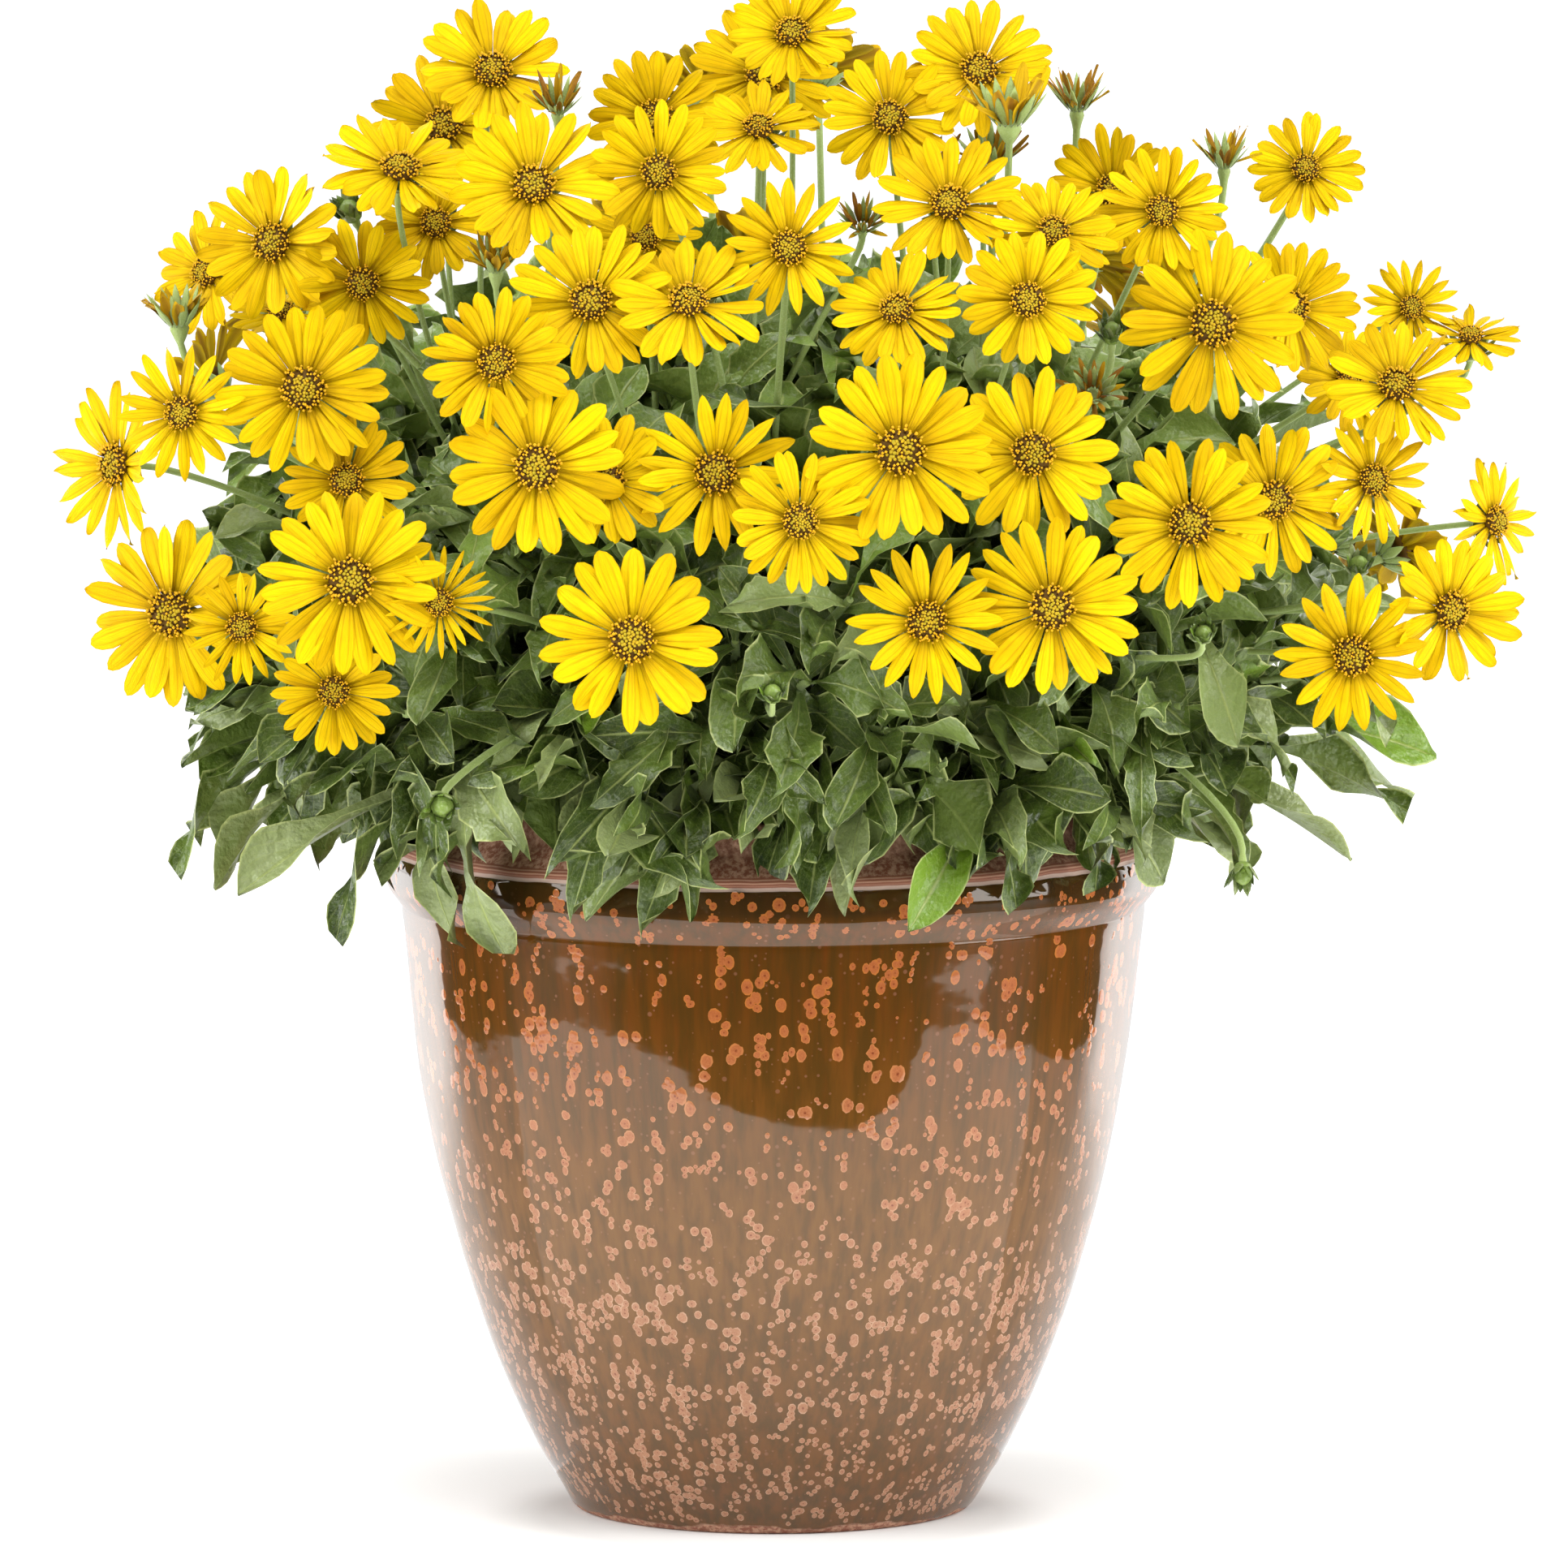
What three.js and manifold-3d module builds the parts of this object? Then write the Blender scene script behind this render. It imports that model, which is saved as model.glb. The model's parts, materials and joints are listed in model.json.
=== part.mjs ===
// Osteospermum (African daisy) in a round glazed pot. Millimetres, +Z up, the foot of the pot on Z = 0.
// A bush of seven leafy stems stands in the soil, and each flower head is a solid of its own on its stalk.
import * as THREE from "three";
import { mergeVertices } from "three/addons/utils/BufferGeometryUtils.js";
import Module from "manifold-3d";

const wasm = await Module();
wasm.setup();

// ---------- driving dimensions ----------
const fitGap = 0.35; // between solids that touch in the real plant
const potSides = 24;

const pot = {
  // radius and height of the outer wall, from the foot to the groove under the rim
  body: [
    [70.5, 0],
    [85.7, 19.9],
    [102.2, 56.2],
    [114.3, 92.4],
    [124, 128.7],
    [131.2, 168],
    [135.6, 210],
    [137.8, 229.5],
  ],
  // the glazed roll, the raw clay shoulder above it and the upright lip
  rim: [
    [142.5, 237],
    [143.3, 243],
    [141.3, 249],
    [135, 256.5],
    [133, 266],
    [128, 268.5],
  ],
  // the inner wall, from the lip down to the floor
  inside: [
    [124.5, 262],
    [124, 229],
    [112, 128.7],
    [90.5, 56.2],
    [66, 14],
  ],
  drainRadius: 9,
  floorHeight: 14,
  footHollowRadius: 46,
  footHollowHeight: 4,
};

const soil = { edgeHeight: 231, middleHeight: 235, holeDepth: 14 };

const bush = {
  middle: new THREE.Vector3(0, 0, 285),
  core: new THREE.Vector3(116, 106, 74), // half axes of the dense inner bush
  coreFloor: 277,
  coreRough: [0.96, 1.16], // its points stand in and out by these shares
  shell: new THREE.Vector3(190, 166, 146), // half axes of the shell where the shoots end
  heart: 0.62, // how far the middle of a cell's inner bush lies towards its stem
  shoots: 24,
  lowestShoot: 0.1, // share of the shell's height
  shootLeaves: 4,
  innerLeaves: 36, // stand on the inner bush itself
  innerDepth: 0.86, // their roots, as a share of its half axes
  lowestInner: 0.2,
  skirt: new THREE.Vector3(172, 156, -13), // where the lowest shoots end, from the middle
  skirtShoots: 16,
  skirtLeaves: 4,
};

const stems = { count: 6, circle: 120, standing: 0.72, turn: 20, radius: 3.2, cellGap: 0.4 };

// The heads stand on a dome round the bush: half width, half depth, height above its middle.
const dome = { halfWidth: 275, depth: 222, height: 245, middle: 310 };

// A head's across and rise are read in the upright plane through the pot's axis, on the line to a viewer
// who stands 5 m in front, with eyes at 810 mm. The head itself lies on that line, further ahead.
const viewer = new THREE.Vector3(4.2, -5000, 810);

// number, across, rise, ahead of the dome, width, turn to the right, tilt up, petal style
const frontHeads = [
  [1, -103, 532, 0, 55, 5, 30, "broad"],
  [2, -121, 512, -75, 54, 0, 20, "broad"],
  [3, -137, 496, 16, 57, 10, 55, "broad"],
  [5, -124, 476, -60, 45, 0, 20, "broad"],
  [6, -88, 490, 5, 60, 0, 30, "broad"],
  [7, -184, 469, 9, 56, -20, 10, "broad"],
  [8, -208, 458, -22, 47, -35, 20, "broad"],
  [9, -151, 454, -24, 48, 0, 5, "broad"],
  [10, -181, 443, -50, 39, 0, 60, "broad"],
  [12, -173, 415, 4, 62, 0, 10, "broad"],
  [13, -218, 406, 12, 48, -10, 5, "narrow"],
  [14, -242, 387, -20, 60, -50, 5, "narrow"],
  [15, -157, 381, -22, 48, 0, 15, "broad"],
  [16, -156, 344, 22, 66, 0, 7, "broad"],
  [17, -222, 332, -24, 66, -20, 5, "broad"],
  [18, -196, 327, 0, 43, 0, 0, "narrow"],
  [19, -162, 303, -18, 45, 0, 0, "broad"],
  [20, -123, 336, 4, 40, 0, 5, "quill"],
  [21, -102, 425, 0, 53, 5, -5, "broad"],
  [22, -87, 386, 12, 64, 0, 8, "broad"],
  [23, -61, 381, -18, 48, 0, 8, "broad"],
  [24, -21, 384, -10, 59, 0, 8, "narrow"],
  [25, 10, 366, 4, 50, 10, 8, "broad"],
  [26, 47, 392, 12, 67, 0, 8, "broad"],
  [27, 96, 391, 0, 61, 0, 8, "broad"],
  [28, 57, 329, 0, 57, 0, 5, "narrow"],
  [29, 103, 334, 10, 62, 0, 8, "broad"],
  [30, -52, 322, 6, 64, 0, 8, "broad"],
  [31, -67, 447, -4, 58, 0, 25, "broad"],
  [32, -31, 447, 0, 56, 0, 45, "broad"],
  [33, -41, 495, 0, 50, 0, 5, "broad"],
  [34, -43, 515, -34, 50, 0, 12, "broad"],
  [35, -47, 471, -62, 42, 0, 15, "broad"],
  [36, -3, 531, -66, 57, 0, 20, "broad"],
  [37, 7, 546, 0, 48, 0, 35, "broad"],
  [38, -5, 511, -26, 45, 0, 50, "broad"],
  [39, 43, 515, -10, 50, 0, 15, "broad"],
  [40, 77, 533, -10, 53, 0, 30, "broad"],
  [45, 65, 483, 0, 54, 0, 35, "broad"],
  [46, 6, 467, 0, 50, 0, 10, "narrow"],
  [47, 107, 474, -38, 46, 0, 30, "broad"],
  [48, 142, 484, 8, 46, 0, 10, "broad"],
  [49, 125, 488, -36, 48, 0, 8, "broad"],
  [51, 196, 496, 10, 42, 0, 20, "broad"],
  [52, 46, 444, 0, 48, -10, 35, "broad"],
  [53, 94, 448, 18, 50, 0, 5, "broad"],
  [54, 162, 439, 14, 66, 0, 8, "broad"],
  [55, 191, 445, -10, 50, 15, 8, "broad"],
  [56, 235, 445, 8, 37, 15, 15, "narrow"],
  [57, 257, 434, 4, 38, 0, 60, "broad"],
  [58, 212, 418, -34, 42, 30, 25, "broad"],
  [59, 230, 416, 34, 54, 0, 40, "broad"],
  [60, 230, 383, 0, 47, 25, 8, "narrow"],
  [61, 266, 366, 0, 47, 50, 8, "narrow"],
  [62, 250, 333, -4, 54, 30, 5, "broad"],
  [63, 214, 316, -4, 57, 0, 8, "narrow"],
  [64, 185, 374, -20, 55, 10, 8, "broad"],
  [65, 154, 365, 10, 61, 0, 8, "broad"],
];

// Groups of heads on the far side, whose petals grow through each other: compass angle from +X towards +Y,
// height of the middle, number of heads, and their width.
const rearGroups = [
  [22, 352, 2, 58],
  [50, 440, 3, 54],
  [78, 345, 2, 62],
  [100, 448, 3, 56],
  [130, 350, 2, 60],
  [156, 430, 2, 55],
  [92, 522, 2, 56],
];

// The middles of touching heads are at most this share of their radii apart.
const touchShare = 0.82;

// Front heads whose petals reach through each other are one solid. The second is set level with the first.
const touchingHeads = [
  [6, 33],
  [12, 13],
  [22, 21],
  [24, 23],
  [26, 25],
  [29, 28],
  [32, 31],
  [39, 40],
  [45, 47],
  [54, 48],
  [64, 60],
  [63, 62],
  [56, 57],
  [16, 20],
  [7, 9],
];

// Buds, half closed cups and spent heads, green or brown: across, rise, ahead, radius, turn, tilt, kind
const greenHeads = [
  [-102, 463, -10, 9, 0, 70, "cup"],
  [-219, 443, 4, 12, -20, 78, "cup"],
  [87, 517, 36, 15, 0, 82, "cup"],
  [112, 522, 4, 9, 5, 80, "spent"],
  [80, 501, -44, 10, 0, 60, "spent"],
  [58, 499, -40, 8, 0, 60, "spent"],
  [166, 501, 4, 8, 0, 75, "spent"],
  [118, 414, -30, 8, 0, 20, "spent"],
  [-79, 521, -4, 8, 0, 60, "spent"],
  [33, 477, -60, 7, 0, 40, "spent"],
  [159, 324, 0, 4.5, 0, 30, "bud"],
  [174, 236, -20, 5, 0, -40, "bud"],
  [-155, 480, -30, 5.5, -20, 40, "bud"],
  [0, 302, 0, 4.5, 0, 30, "bud"],
  [125, 435, -30, 5, 0, 50, "bud"],
  [216, 349, -14, 5, 10, 40, "bud"],
  [-122, 261, 0, 6, 0, -10, "bud"],
];

const head = {
  discShare: 0.3, // radius of the disc, as a share of the head's
  shoulderShare: 0.68, // where a petal is widest
  discRise: 3.4,
  rimLevel: 0.2, // where the petals part, at the edge of the disc
  seat: -2.2, // the middle of the underside
  keel: 1.4,
  broad: 0.95,
  narrow: 0.66,
  quill: 0.42,
  petals: 7,
};

const cup = { radius: 7, depth: 9 };
// Shares of a half closed or spent head's radius and height.
const greenHead = {
  tall: { bud: 1.9, cup: 1, spent: 1.5 },
  blades: 7,
  foot: 0.34,
  waist: 0.55,
  valley: 0.35,
  hollow: 0.3,
};
const stalk = { radius: 1.6, reachIn: 0.66, branchRadius: 3.6 };

// Half the outline of a leaf with a coarse tooth: share of the length and of the half width.
const leafOutline = [
  [0, 0],
  [0.45, 0.9],
  [0.55, 0.7],
  [0.72, 1],
  [1, 0],
];
const leaf = {
  length: 62,
  halfWidth: 9.2,
  thickness: 2,
  thickest: 0.42, // share of the length
  arch: 0.1,
  step: 12, // between one leaf of a shoot and the next
  sunk: 1.8,
  tries: 8,
  roll: 60, // degrees that a low leaf may lie over to either side
};
const potMargin = 1.6;

// Large leaves that hang over the rim or stand out at the sides: where the tip is and how wide the leaf is.
const hangingLeaves = [
  [-112, 206, 122, 11],
  [-130, 214, 100, 7],
  [49, 212, 160, 9],
  [92, 224, 142, 8],
  [14, 226, 164, 8],
  [-31, 237, 172, 9],
  [122, 230, 112, 8],
  [-229, 248, 20, 8],
  [-212, 237, 60, 7],
  [-196, 224, 90, 8],
  [-170, 221, 100, 8],
  [-224, 266, -30, 8],
  [-216, 292, 40, 9],
  [245, 290, 20, 9],
  [241, 272, -20, 7],
  [236, 262, 50, 7],
  [212, 237, 80, 8],
  [149, 239, 110, 8],
];

// ---------- repeatable variety ----------
const noise = (item, kind) => {
  const wave = Math.sin(item * 12.9898 + kind * 78.233) * 43758.5453;
  return wave - Math.floor(wave);
};
const spread = (item, kind, low, high) => low + (high - low) * noise(item, kind);
const goldenAngle = THREE.MathUtils.degToRad(137.508);
const up = new THREE.Vector3(0, 0, 1);

// ---------- solids ----------
function solidOf(geometry) {
  geometry.deleteAttribute("normal");
  geometry.deleteAttribute("uv");
  const merged = mergeVertices(geometry, 1e-3);
  return new wasm.Manifold(
    new wasm.Mesh({
      numProp: 3,
      vertProperties: new Float32Array(merged.attributes.position.array),
      triVerts: new Uint32Array(merged.index.array),
    }),
  );
}

function solidFromFaces(points, faces) {
  const geometry = new THREE.BufferGeometry().setFromPoints(points);
  return solidOf(geometry.setIndex(faces));
}

function geometryOf(solid) {
  const mesh = solid.getMesh();
  return new THREE.BufferGeometry()
    .setAttribute("position", new THREE.BufferAttribute(mesh.vertProperties, 3))
    .setIndex(new THREE.BufferAttribute(mesh.triVerts, 1));
}

const joined = (solids) => wasm.Manifold.union(solids);

// The largest body of a solid: scraps that a cut leaves loose are dropped.
function largest(solid) {
  return solid.decompose().reduce((best, body) => (body.volume() > best.volume() ? body : best));
}

// A solid of revolution round Z: the profile closes on itself.
function turned(profile) {
  const closed = [...profile, profile[0]].map(([radius, height]) => new THREE.Vector2(radius, height));
  const geometry = new THREE.LatheGeometry(closed, potSides);
  return solidOf(geometry.rotateX(Math.PI / 2));
}

// A solid through rings of points, closed at both ends.
function loft(rings) {
  const sides = rings[0].length;
  const lastRing = (rings.length - 1) * sides;
  const faces = [];
  for (let start = 0; start < lastRing; start += sides)
    for (let side = 0; side < sides; side++) {
      const here = start + side;
      const next = start + ((side + 1) % sides);
      faces.push(here, next, next + sides, here, next + sides, here + sides);
    }
  for (let side = 1; side + 1 < sides; side++) {
    faces.push(0, side + 1, side);
    faces.push(lastRing, lastRing + side, lastRing + side + 1);
  }
  return solidFromFaces(rings.flat(), faces);
}

// A round section across a direction, its first point towards a reference.
function section(centre, along, reference, radius, sides) {
  const first = reference.clone().addScaledVector(along, -reference.dot(along)).normalize();
  const second = along.clone().cross(first);
  return Array.from({ length: sides }, (_, side) => {
    const angle = (2 * Math.PI * side) / sides;
    return centre
      .clone()
      .addScaledVector(first, radius * Math.cos(angle))
      .addScaledVector(second, radius * Math.sin(angle));
  });
}

function straightTube(from, to, radius, sides) {
  const along = to.clone().sub(from).normalize();
  const reference = Math.abs(along.z) > 0.8 ? new THREE.Vector3(1, 0, 0) : up;
  return loft([from, to].map((end) => section(end, along, reference, radius, sides)));
}

// ---------- places ----------
const sites = [new THREE.Vector2(0, 0)];
for (let i = 0; i < stems.count; i++) {
  const angle = THREE.MathUtils.degToRad(stems.turn + (360 * i) / stems.count);
  sites.push(new THREE.Vector2(Math.cos(angle), Math.sin(angle)).multiplyScalar(stems.circle));
}

function nearestSite(place) {
  const distances = sites.map((site) => Math.hypot(place.x - site.x, place.y - site.y));
  return distances.indexOf(Math.min(...distances));
}

// How far a place lies inside the cell of a site.
function cellMargin(place, index) {
  const own = sites[index];
  return Math.min(
    ...sites
      .filter((site) => site !== own)
      .map((site) => {
        const apart = site.clone().sub(own);
        const middle = site.clone().add(own).multiplyScalar(0.5);
        const length = apart.length();
        return ((middle.x - place.x) * apart.x + (middle.y - place.y) * apart.y) / length;
      }),
  );
}

// The upright prism of places that are nearer to one stem than to the others.
function cellPrism(index) {
  const reach = 400;
  let corners = [
    [-reach, -reach],
    [reach, -reach],
    [reach, reach],
    [-reach, reach],
  ].map(([x, y]) => new THREE.Vector2(x, y));
  const own = sites[index];
  for (const site of sites) {
    if (site === own) continue;
    const apart = site.clone().sub(own).normalize();
    const limit = apart.dot(site.clone().add(own).multiplyScalar(0.5)) - stems.cellGap / 2;
    const kept = [];
    corners.forEach((corner, i) => {
      const next = corners[(i + 1) % corners.length];
      const here = limit - apart.dot(corner);
      const there = limit - apart.dot(next);
      if (here >= 0) kept.push(corner);
      if (here >= 0 !== there >= 0) kept.push(corner.clone().lerp(next, here / (here - there)));
    });
    corners = kept;
  }
  const outline = new THREE.Shape(corners);
  const geometry = new THREE.ExtrudeGeometry(outline, { depth: 2 * reach, bevelEnabled: false });
  return solidOf(geometry);
}

function onShell(halfAxes, direction) {
  return direction.clone().multiply(halfAxes).add(bush.middle);
}

// A place deep in the inner bush that lies in the cell of a stem.
function heartOf(index) {
  const { x, y } = sites[index];
  return new THREE.Vector3(bush.heart * x, bush.heart * y, bush.middle.z + 14);
}

function domeReach(across, rise) {
  const left = 1 - (across / dome.halfWidth) ** 2 - (Math.max(0, rise - dome.middle) / dome.height) ** 2;
  return dome.depth * Math.sqrt(Math.max(0, left));
}

// A place on the viewer's line through a point of the upright plane, brought forward by reach.
function onSight(across, rise, reach) {
  const place = new THREE.Vector3(across, 0, rise);
  return place.lerp(viewer, reach / -viewer.y);
}

function facing(turn, tilt) {
  const yaw = THREE.MathUtils.degToRad(turn);
  const pitch = THREE.MathUtils.degToRad(tilt);
  const level = Math.cos(pitch);
  return new THREE.Vector3(Math.sin(yaw) * level, -Math.cos(yaw) * level, Math.sin(pitch));
}

const cupSlope = (number) => Math.tan(THREE.MathUtils.degToRad(spread(number, 1, -2, 14)));

// How far a head's petals lie behind a place, along the head's facing.
function petalsBehind(place, one) {
  const away = place.clone().sub(one.middle);
  const height = away.dot(one.facing);
  const distance = Math.sqrt(away.lengthSq() - height * height);
  return height - cupSlope(one.number) * Math.max(0, distance - head.discShare * one.radius);
}

// Moves a head sideways until it reaches over another, then along a direction until their petals meet.
function setLevel(still, moved, way) {
  for (let round = 0; round < 3; round++) {
    const apart = moved.middle.clone().sub(still.middle);
    const sideways = apart.clone().addScaledVector(still.facing, -apart.dot(still.facing));
    const tooFar = sideways.length() - touchShare * (still.radius + moved.radius);
    if (tooFar > 0) moved.middle.addScaledVector(sideways.normalize(), -tooFar);
    const between = still.middle.clone().lerp(moved.middle, 0.5);
    const short = petalsBehind(between, moved) - petalsBehind(between, still);
    moved.middle.addScaledVector(way, short / way.dot(moved.facing));
  }
  moved.aim = still.middle;
  still.aim ??= moved.middle;
}

function allHeads() {
  const heads = frontHeads.map(([number, across, rise, ahead, width, turn, tilt, style]) => ({
    number,
    middle: onSight(across, rise, domeReach(across, rise) + ahead),
    facing: facing(turn, tilt),
    radius: width / 2,
    style,
  }));
  for (const [first, second] of touchingHeads) {
    const [still, moved] = [first, second].map((number) => heads.find((one) => one.number === number));
    setLevel(still, moved, viewer.clone().sub(moved.middle).normalize());
  }
  const firstRear = 101;
  rearGroups.forEach(([compass, height, count, width], group) => {
    const angle = THREE.MathUtils.degToRad(compass);
    const outward = new THREE.Vector3(Math.cos(angle), Math.sin(angle), 0);
    const level = Math.sqrt(1 - (Math.max(0, height - dome.middle) / dome.height) ** 2);
    const centre = new THREE.Vector3(dome.halfWidth, dome.depth, 0);
    centre.multiply(outward).multiplyScalar(0.9 * level);
    centre.z = height;
    const out = outward.clone().addScaledVector(up, 0.35 + (height - dome.middle) / 300).normalize();
    const side = up.clone().cross(out).normalize();
    const high = out.clone().cross(side);
    for (let i = 0; i < count; i++) {
      const around = (2 * Math.PI * i) / count + group;
      const away = (0.39 * width) / Math.sin(Math.PI / count);
      heads.push({
        number: firstRear + 10 * group + i,
        middle: centre
          .clone()
          .addScaledVector(side, away * Math.cos(around))
          .addScaledVector(high, away * Math.sin(around)),
        facing: out.clone(),
        radius: spread(group, i + 5, 0.94, 1.04) * (width / 2),
        style: "broad",
      });
      if (i > 0) setLevel(heads.at(-1 - i), heads.at(-1), out);
    }
  });
  return heads;
}
const heads = allHeads();

// Unit vectors of a head's own frame: right, high and out of its face.
function headFrame(out) {
  const right = up.clone().cross(out).normalize().negate();
  if (right.lengthSq() < 0.5) right.set(1, 0, 0);
  return { right, high: out.clone().cross(right), out };
}

// ---------- flower heads ----------
// Petals with a keel below grow from a ring round the domed disc. Every second petal lies a little lower.
function headSolid({ number, middle, facing: out, radius, style, aim }) {
  const frame = headFrame(out);
  const { petals } = head;
  const pitch = (2 * Math.PI) / petals;
  const slope = cupSlope(number);
  const discRadius = head.discShare * radius;
  const at = (angle, distance, height) =>
    middle
      .clone()
      .addScaledVector(frame.right, distance * Math.cos(angle))
      .addScaledVector(frame.high, distance * Math.sin(angle))
      .addScaledVector(frame.out, height + slope * Math.max(0, distance - discRadius));
  const toOther = aim ? aim.clone().sub(middle) : null;
  const turn = aim ? Math.atan2(toOther.dot(frame.high), toOther.dot(frame.right)) : noise(number, 2);
  const points = [at(0, 0, head.discRise), at(0, 0, head.seat)];
  const faces = [];
  const perPetal = 5;
  for (let i = 0; i < petals; i++) {
    const start = turn + (i - 0.5) * pitch;
    const lie = i ? 0.5 - (i % 2) : 0;
    const shoulder = head.shoulderShare * radius;
    const half = (head[style] * pitch) / 2;
    const tip = radius * (i ? spread(number * 20 + i, 3, 0.93, 1) : 1);
    const tipLie = i ? spread(number * 20 + i, 4, -1.5, 1.5) : 0;
    points.push(
      at(start, discRadius, head.rimLevel),
      at(start + pitch / 2 - half, shoulder, lie),
      at(start + pitch / 2, tip, lie + tipLie),
      at(start + pitch / 2 + half, shoulder, lie),
      at(start + pitch / 2, 0.6 * radius, lie - head.keel),
    );
    const [rim, left, end, right, keel] = Array.from({ length: perPetal }, (_, k) => 2 + perPetal * i + k);
    const nextRim = 2 + perPetal * ((i + 1) % petals);
    faces.push(0, rim, nextRim);
    faces.push(rim, left, end, rim, end, right, rim, right, nextRim);
    faces.push(keel, left, rim, keel, end, left, keel, right, end, keel, nextRim, right);
    faces.push(1, keel, rim, 1, nextRim, keel);
  }
  return solidFromFaces(points, faces);
}

// The room that a head takes up, so that leaves keep clear of it.
function headRoom({ middle, facing: out, radius }) {
  const frame = headFrame(out);
  const sides = 10;
  const ring = (height, distance) => {
    const centre = middle.clone().addScaledVector(frame.out, height);
    return section(centre, frame.out, frame.high, distance, sides);
  };
  const wide = radius + 2;
  return loft([ring(-3.2, 0.5 * radius), ring(-2.4, wide), ring(0.35 * radius, wide), ring(6, 8)]);
}

// Whether a place lies in the room of a head, with a margin.
function inHeadRoom(place, { middle, facing: out, radius }, margin) {
  const away = place.clone().sub(middle);
  const height = away.dot(out);
  const distance = Math.sqrt(Math.max(0, away.lengthSq() - height * height));
  return distance < radius + margin && height > -3 - margin && height < 0.3 * radius + margin;
}

// ---------- stalks ----------
// Ways to bend a stalk, the plainest first: how far it runs straight out of its head, how much it drops,
// and how far its lower part bends and swings to the side.
const stalkBends = [];
for (const drop of [0, 10, 22])
  for (const arrival of [26, 16, 36, 9])
    for (const bend of [0, 14, -14, 28, -28, 44, -44])
      for (const swing of [0, 0.2, -0.2, 0.4, -0.4]) stalkBends.push({ arrival, drop, bend, swing });

// The curve of a stalk from the bush to the back of its head, bent until it passes clear of other heads.
function stalkCurve(middle, out, own) {
  const cell = nearestSite(middle);
  const seat = middle.clone().addScaledVector(out, head.seat - fitGap - cup.depth);
  const lift = THREE.MathUtils.clamp((middle.z - bush.middle.z) / 250, 0.12, cell ? 0.6 : 0.9);
  let best = null;
  let bestHits = Infinity;
  for (const { arrival, drop, bend, swing } of stalkBends) {
    const angle = Math.atan2(middle.y, middle.x) + swing;
    const level = Math.sqrt(1 - lift * lift);
    const direction = new THREE.Vector3(Math.cos(angle) * level, Math.sin(angle) * level, lift);
    const start = onShell(bush.core, direction).lerp(heartOf(cell), 1 - stalk.reachIn);
    const span = start.distanceTo(seat);
    const sideways = new THREE.Vector3(-Math.sin(angle), Math.cos(angle), 0).multiplyScalar(bend);
    const rise = start.clone().sub(bush.middle).normalize().add(up).normalize();
    const curve = new THREE.CubicBezierCurve3(
      start,
      start.clone().addScaledVector(rise, span * 0.35).add(sideways),
      seat.clone().addScaledVector(out, -Math.min(arrival, span * 0.5)).addScaledVector(up, -drop),
      seat,
    );
    let hits = 0;
    const samples = 16;
    for (let i = 0; i <= samples; i++) {
      const place = curve.getPoint(i / samples);
      if (cellMargin(place, cell) < stalk.radius + 1) hits += 1;
      for (const other of heads)
        if (other !== own && inHeadRoom(place, other, stalk.radius + 1.2)) hits += 1;
    }
    if (hits < bestHits) {
      bestHits = hits;
      best = curve;
    }
    if (bestHits < 0.5) break;
  }
  return { curve: best, cell };
}

// A three-sided stalk that opens into the green cup below its head.
function stalkSolid(curve, middle, out, cupRadius) {
  const shares = [0, 0.5, 1];
  let reference = new THREE.Vector3(1, 0.3, 0);
  const rings = shares.map((share) => {
    const along = curve.getTangent(share);
    const ring = section(curve.getPoint(share), along, reference, stalk.radius, 3);
    reference = ring[0].clone().sub(curve.getPoint(share)).normalize();
    return ring;
  });
  const seat = middle.clone().addScaledVector(out, head.seat - fitGap);
  rings.push(section(seat, out, reference, cupRadius, 3));
  return loft(rings);
}

// A bud, a half closed cup or a spent head on the end of its stalk.
function greenHeadSolid({ middle, facing: out, radius, kind, index }) {
  const frame = headFrame(out);
  const level = (height) => middle.clone().addScaledVector(out, height);
  const ring = (height, distance, sides) => section(level(height), out, frame.high, distance, sides);
  const tall = greenHead.tall[kind] * radius;
  const low = head.seat - fitGap - 1;
  if (kind === "bud") {
    const belly = [ring(0.1 * tall, radius, 5), ring(0.6 * tall, 0.8 * radius, 5)];
    return loft([ring(low, 1.4, 5), ...belly, ring(tall, 1, 5)]);
  }
  const blades = greenHead.blades;
  const points = [level(greenHead.hollow * tall), ...ring(low, greenHead.foot * radius, blades)];
  const faces = [];
  for (let i = 0; i < blades; i++) {
    const angle = ((i + 0.5) * 2 * Math.PI) / blades;
    const away = radius * (kind === "cup" ? 1 : spread(index, 20 + i, 0.4, 0.9));
    const height = tall * spread(index, 10 + i, 0.8, 1.1);
    const tipRing = ring(height, away, 1)[0].sub(level(height)).applyAxisAngle(out, angle);
    points.push(level(height).add(tipRing));
  }
  points.push(...ring(greenHead.valley * tall, greenHead.waist * radius, blades));
  for (let i = 0; i < blades; i++) {
    const next = (i + 1) % blades;
    const [foot, nextFoot, tip] = [1 + i, 1 + next, 1 + blades + i];
    const [valley, nextValley] = [1 + 2 * blades + i, 1 + 2 * blades + next];
    faces.push(foot, nextFoot, tip, foot, tip, valley, nextFoot, nextValley, tip);
    faces.push(0, valley, tip, 0, tip, nextValley);
    if (i > 0 && next > 0) faces.push(1, nextFoot, foot);
  }
  return solidFromFaces(points, faces);
}

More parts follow.
